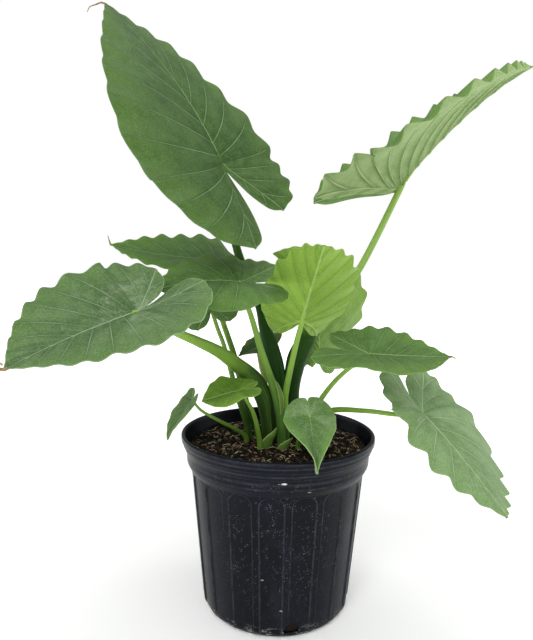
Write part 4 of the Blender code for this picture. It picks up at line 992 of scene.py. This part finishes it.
def soil_objects(material, perlite_material):
    """The mix as one surface, closed underneath, and the crumbs, bark, fibres and perlite on it."""
    rng = random.Random(SOIL_SEED)
    edge = BAND_RADIUS - POT_WALL - 0.6
    columns = SOIL_COLUMNS
    points, faces, tints = [], [], []

    def piece(name, sharp, skin=material):
        """An object from what has been gathered, which is then cleared."""
        made = make_mesh(name, points, faces, {"veins": [(tint, 0) for tint in tints]}, [skin], sharp=sharp)
        for each in (points, faces, tints):
            each.clear()
        return made

    def spot(reach):
        """A random place on the mix."""
        radius = edge * math.sqrt(rng.random()) * reach
        turn = rng.uniform(0, 2 * math.pi)
        return radius * math.cos(turn), radius * math.sin(turn)

    def scatter(number, subdivisions, sizes, shades):
        """Balls pressed out of shape, in random places and turns."""
        ball, ball_faces = icosphere(subdivisions)
        for _ in range(number):
            x, y = spot(0.985)
            scale = np.array([rng.uniform(*size) for size in sizes])
            knobs = np.array([rng.uniform(0.72, 1.25) for _ in ball])
            spin = Matrix.Identity(3)
            for low, high, axis in ((0, 6.3, "Z"), (-0.7, 0.7, "X"), (-0.6, 0.6, "Y")):
                spin = spin @ Matrix.Rotation(rng.uniform(low, high), 3, axis)
            lift = soil_height(x, y) + scale[2] * rng.uniform(-0.2, 0.8)
            base = len(points)
            points.extend((ball * knobs[:, None] * scale) @ np.array(spin).T + np.array([x, y, lift]))
            faces.extend(tuple(i + base for i in face) for face in ball_faces)
            tints.extend([rng.uniform(*shades)] * len(ball))

    rings = [(radius, None) for radius in (*np.arange(3, edge, 2.6), edge)]
    rings += [(edge, 207), (body_radius(190) - 4.2, 190), (BASE_RADIUS - 4, 14), (BASE_RADIUS - 11, 4.2)]
    for radius, height in rings:
        for j in range(columns):
            turn = 2 * math.pi * j / columns
            x, y = radius * math.cos(turn), radius * math.sin(turn)
            surface = height is None
            points.append((x, y, soil_height(x, y) if surface else height))
            tints.append(0.16 + 0.4 * wander(x * 0.2, y * 0.2, 9) if surface else 0.3)
    last = (len(rings) - 1) * columns
    faces += [(a, d, c, b) for a, b, c, d in ring_faces(len(rings), columns)]
    faces += [tuple(range(columns)), tuple(range(last, last + columns))[::-1]]
    body = piece("potting_mix_body", 80)

    for row in CRUMBS:
        scatter(*row)
    crumbs = piece("potting_mix_crumbs", 35)

    for _ in range(FIBRE_COUNT):
        x, y = spot(0.95)
        heading = rng.uniform(0, 2 * math.pi)
        length, thick, curve = rng.uniform(4, 15), rng.uniform(0.16, 0.4), rng.uniform(-1.3, 1.3)
        faces += tube_faces(FIBRE_ROWS, 4, len(points))
        for t in np.arange(FIBRE_ROWS) / (FIBRE_ROWS - 1):
            bend = heading + curve * (t - 0.5) * 2
            px = x + length * (t - 0.5) * math.cos(bend)
            py = y + length * (t - 0.5) * math.sin(bend)
            if math.hypot(px, py) > edge - 1:
                px, py = px * 0.93, py * 0.93
            pz = soil_height(px, py) + 1.4 + 1.6 * math.sin(math.pi * t) * rng.uniform(0.6, 1)
            for side, up in ((-1, -1), (1, -1), (1, 1), (-1, 1)):
                wide = side * thick
                points.append((px - wide * math.sin(bend), py + wide * math.cos(bend), pz + up * thick))
        tints.extend([rng.uniform(0.3, 1.15)] * (4 * FIBRE_ROWS))
    fibres = piece("potting_mix_fibres", 60)

    scatter(*PERLITE)
    return [body, crumbs, fibres, piece("perlite", 60, perlite_material)]


def dress(made, slot, *nodes):
    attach(made, "root")
    if nodes:
        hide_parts(*nodes)


# Each face of a blade by its colours: shaded, open, at the edge, its veins and, underneath, painted shade in
# its creases
FACES = {
    "upper_deep": ((38, 67, 28), (76, 105, 54), (84, 118, 44), (140, 166, 116), {}),
    "upper_between": ((52, 84, 36), (86, 118, 60), (98, 136, 52), (142, 168, 118), {}),
    "upper_dusty": ((54, 84, 42), (97, 125, 77), (98, 132, 66), (162, 184, 150),
                    dict(residue=0.5, margin=0.5)),
    "upper_middle": ((68, 100, 50), (98, 132, 74), (108, 142, 62), (160, 186, 128), {}),
    "upper_light": ((84, 122, 42), (122, 158, 68), (126, 160, 66), (168, 196, 116), {}),
    "upper_pale": ((88, 122, 70), (132, 160, 112), (118, 152, 88), (186, 206, 166),
                   dict(residue=0.3, net_strength=0.5)),
    "upper_soft": ((76, 110, 56), (104, 138, 80), (116, 158, 66), (168, 190, 146),
                   dict(residue=0.4, vein_width=0.35, rib_width=0.8, vein_strength=0.45, margin=0.9)),
    "upper_fresh": ((76, 116, 32), (118, 156, 62), (134, 170, 66), (176, 200, 118), {}),
    "under_pale": ((104, 131, 74), (148, 170, 114), (154, 178, 120), (184, 204, 150), (88, 116, 62),
                   dict(raised=True, roughness=0.55, vein_strength=0.55, vein_width=1.0, rib_width=2.2)),
    "under_young": ((122, 160, 56), (146, 180, 78), (142, 176, 78), (196, 218, 132), (108, 146, 50),
                    dict(raised=True, vein_width=0.55, rib_width=2.8, vein_strength=0.38, glow=0.15)),
}
blade_skins = {}
for name, (*colours, settings) in FACES.items():
    blade_skins[name] = blade_material("leaf_" + name, *colours, **settings)
for leaf in LEAVES:
    blade = blade_object(leaf, blade_skins[leaf.upper], blade_skins[leaf.lower])
    dress(blade, leaf.slot, "blade_" + leaf.name)

DARK_STRIPE = (70, 98, 48)
LIGHT_STRIPE = (164, 188, 104)
# Each petiole skin: its slot, its stripe, and its colours at fractions of the way up to the blade
STEM_SKINS = {
    "dark": ("stem_dark", DARK_STRIPE, (0, 58, 72, 32), (0.06, 26, 56, 16), (0.5, 34, 68, 22),
             (1, 78, 112, 50)),
    "high": ("stem_dark", DARK_STRIPE, (0, 60, 76, 34), (0.06, 28, 58, 16), (0.36, 38, 74, 22),
             (0.5, 136, 170, 80), (1, 146, 180, 92)),
    "low": ("stem", LIGHT_STRIPE, (0, 60, 80, 34), (0.08, 34, 58, 20), (0.34, 46, 76, 26),
            (0.46, 112, 150, 56), (1, 146, 182, 84)),
    "centre": ("stem", LIGHT_STRIPE, (0, 64, 96, 38), (0.12, 56, 90, 34), (0.34, 78, 116, 46),
               (0.55, 122, 160, 68), (1, 146, 180, 90)),
    "light": ("stem", LIGHT_STRIPE, (0, 84, 114, 42), (0.2, 108, 148, 52), (0.6, 128, 168, 66),
              (1, 148, 186, 84)),
}
stem_skins = {name: stem_material(f"stem_{name}_skin", *row[1:]) for name, row in STEM_SKINS.items()}
for leaf in LEAVES:
    foot, way, radii, skin = STEMS[leaf.name]
    stem = stem_object(leaf, foot, way, radii, stem_skins[skin])
    dress(stem, STEM_SKINS[skin][0], "petiole_" + leaf.name)

dress(pot_object(), "pot", "pot")
perlite_white = plain_material("perlite_white", (226, 226, 220), (196, 194, 186), 900, 0.85)
mix_body, *loose = soil_objects(soil_material(), perlite_white)
dress(mix_body, "soil", "soil")
for each in loose:
    dress(each, "soil")

tissue = plain_material("young_tissue", (150, 172, 84), (176, 192, 116), 300, 0.5)
sheath = sheath_material()
straw = plain_material("dried_tip", (116, 92, 58), (160, 134, 92), 400, 0.7)
corm_skin = plain_material("corm_skin", (92, 66, 42), (128, 96, 62), 120, 0.85)
# Each flap of sheath: spine, widths, direction across, cup, thickness, raggedness, and the solid it replaces
FLAPS = {
    "sheath_flap_left": ([(-1.5, -33, 258), (-6, -34, 249), (-13, -34.5, 240), (-17, -33, 231),
                          (-16, -31, 220)], (0.6, 4.2, 6.4, 6.8, 4),
                         (0.8, 0.2, -0.3), 0.35, 0.7, 0.15, "stub_left"),
    "sheath_flap_right": ([(21, -36.5, 245), (16, -36.5, 240.5), (10, -36, 234), (5, -34.5, 228),
                           (3, -32, 219)], (0.4, 3.2, 5, 5.6, 4),
                          (0.5, 0.1, -0.85), 0.4, 0.7, 0.15, "stub_right"),
    "sheath_wing": ([(-10, -35, 330), (-2.5, -35, 320), (2.5, -34.5, 307), (5, -34, 292), (4, -32, 276)],
                    (0.5, 2.2, 3.4, 3.2, 1), (0.9, 0.25, 0.4), 0.4, 0.6, 0.1),
}
for name, (spine, widths, across, cup, thick, ragged, *nodes) in FLAPS.items():
    dress(sheet_object(name, spine, widths, across, cup, thick, sheath, ragged), "stem", *nodes)
THREADS = {
    "tip_thread_tall": ([(-258, 25.6, 856), (-265, 25.6, 858.5), (-273, 25, 855.5), (-281.5, 24.5, 852),
                         (-285.3, 24, 844.5)], (1.7, 1.1, 0.8, 0.5)),
    "tip_thread_back": ([(-272, 92.4, 512), (-274.6, 92.6, 519), (-276.8, 92.6, 527)], (1.6, 1, 0.5)),
    "tip_curl_low": ([(-246, -303.5, 386.5), (-250.5, -306, 385.5), (-253, -307, 388.5),
                      (-250.5, -308, 391.5), (-248, -307.5, 389.5)], (1.5, 1.6, 1.3, 0.8)),
    "tip_thread_right": ([(214, -96, 372.3), (219, -95.6, 371.2), (223.5, -95, 367.5)], (1.3, 0.9, 0.4)),
}
for name, (spine, radii) in THREADS.items():
    dress(thread_object(name, spine, radii, straw), "stem")
for node, finish in (("bud", tissue), ("corm", corm_skin)):
    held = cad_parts[node]
    held.data.materials.clear()
    held.data.materials.append(finish)

FOCAL_PIXELS, IMAGE_WIDTH, SHIFT_PIXELS = 560, 533, 22
DISTANCE, EYE_HEIGHT = 0.800, 0.4822
PITCH, YAW, ROLL = (math.radians(value) for value in (3.27, -1.39, 0.86))
SENSOR_WIDTH = 36
camera_data = bpy.data.cameras.new("photo_camera")
camera = add_object("photo_camera", camera_data)
camera.matrix_world = (Matrix.Translation((0, -DISTANCE, EYE_HEIGHT)) @ Matrix.Rotation(-YAW, 4, "Z")
                       @ Matrix.Rotation(math.pi / 2 - PITCH, 4, "X") @ Matrix.Rotation(ROLL, 4, "Z"))
camera_data.sensor_fit = "HORIZONTAL"
camera_data.sensor_width = SENSOR_WIDTH
camera_data.lens = FOCAL_PIXELS / IMAGE_WIDTH * SENSOR_WIDTH
camera_data.shift_y = -SHIFT_PIXELS / IMAGE_WIDTH
bpy.context.scene.camera = camera

# White to the camera, and to the plant a sky that is brighter above
sky = Shader("studio", owners=bpy.data.worlds)
backdrop = sky.tree.nodes["Background"]
backdrop.inputs["Color"].default_value = (1, 1, 1, 1)
height = sky.node("SeparateXYZ", {0: sky.node("TexCoord").outputs["Generated"]}).outputs["Z"]
strength = sky.node("MapRange", {"Value": height, "To Min": 0.34, "To Max": 0.9}).outputs[0]
lamp = sky.node("Background", {"Strength": strength})
seen = sky.node("LightPath").outputs["Is Camera Ray"]
pick = sky.node("MixShader", {0: seen, 1: lamp.outputs[0], 2: backdrop.outputs[0]})
sky.set(sky.tree.nodes["World Output"].inputs["Surface"], pick.outputs[0])
bpy.context.scene.world = sky.owner
bpy.context.scene.view_settings.view_transform = "Standard"

# Each light: its place, the height it aims at, its size and its power
LIGHTS = {
    "key": ((-0.4, -2.0, 1.8), 0.4, 1.5, 34),
    "top": ((0.3, 0.3, 2.6), 0.4, 1.8, 14),
    "right_edge": ((1.7, 0.5, 0.7), 0.3, 1, 7),
    "left_edge": ((-1.7, 0.5, 0.7), 0.3, 1, 5),
}
for name, (place, aim, size, power) in LIGHTS.items():
    light = bpy.data.lights.new(name, "AREA")
    light.shape = "DISK"
    light.size = size
    light.energy = power
    made = add_object(name, light)
    made.location = place
    made.rotation_euler = (Vector((0, 0, aim)) - Vector(place)).to_track_quat("-Z", "Y").to_euler()

FLOOR_RADIUS = 14
floor = primitive("floor", bmesh.ops.create_circle, segments=96, radius=FLOOR_RADIUS)
ground = Shader("pale_floor", (0.96, 0.96, 0.96, 1))
away = ground.vector("LENGTH", ground.position(), output="Value")
ground.set(ground.surface.inputs["Emission Strength"], ground.step(away, 0.3, 2.2, 0.15, 1))
floor.data.materials.append(ground.finish(0.8, Specular_IOR_Level=0.1, Emission_Color=(1, 1, 1, 1)))
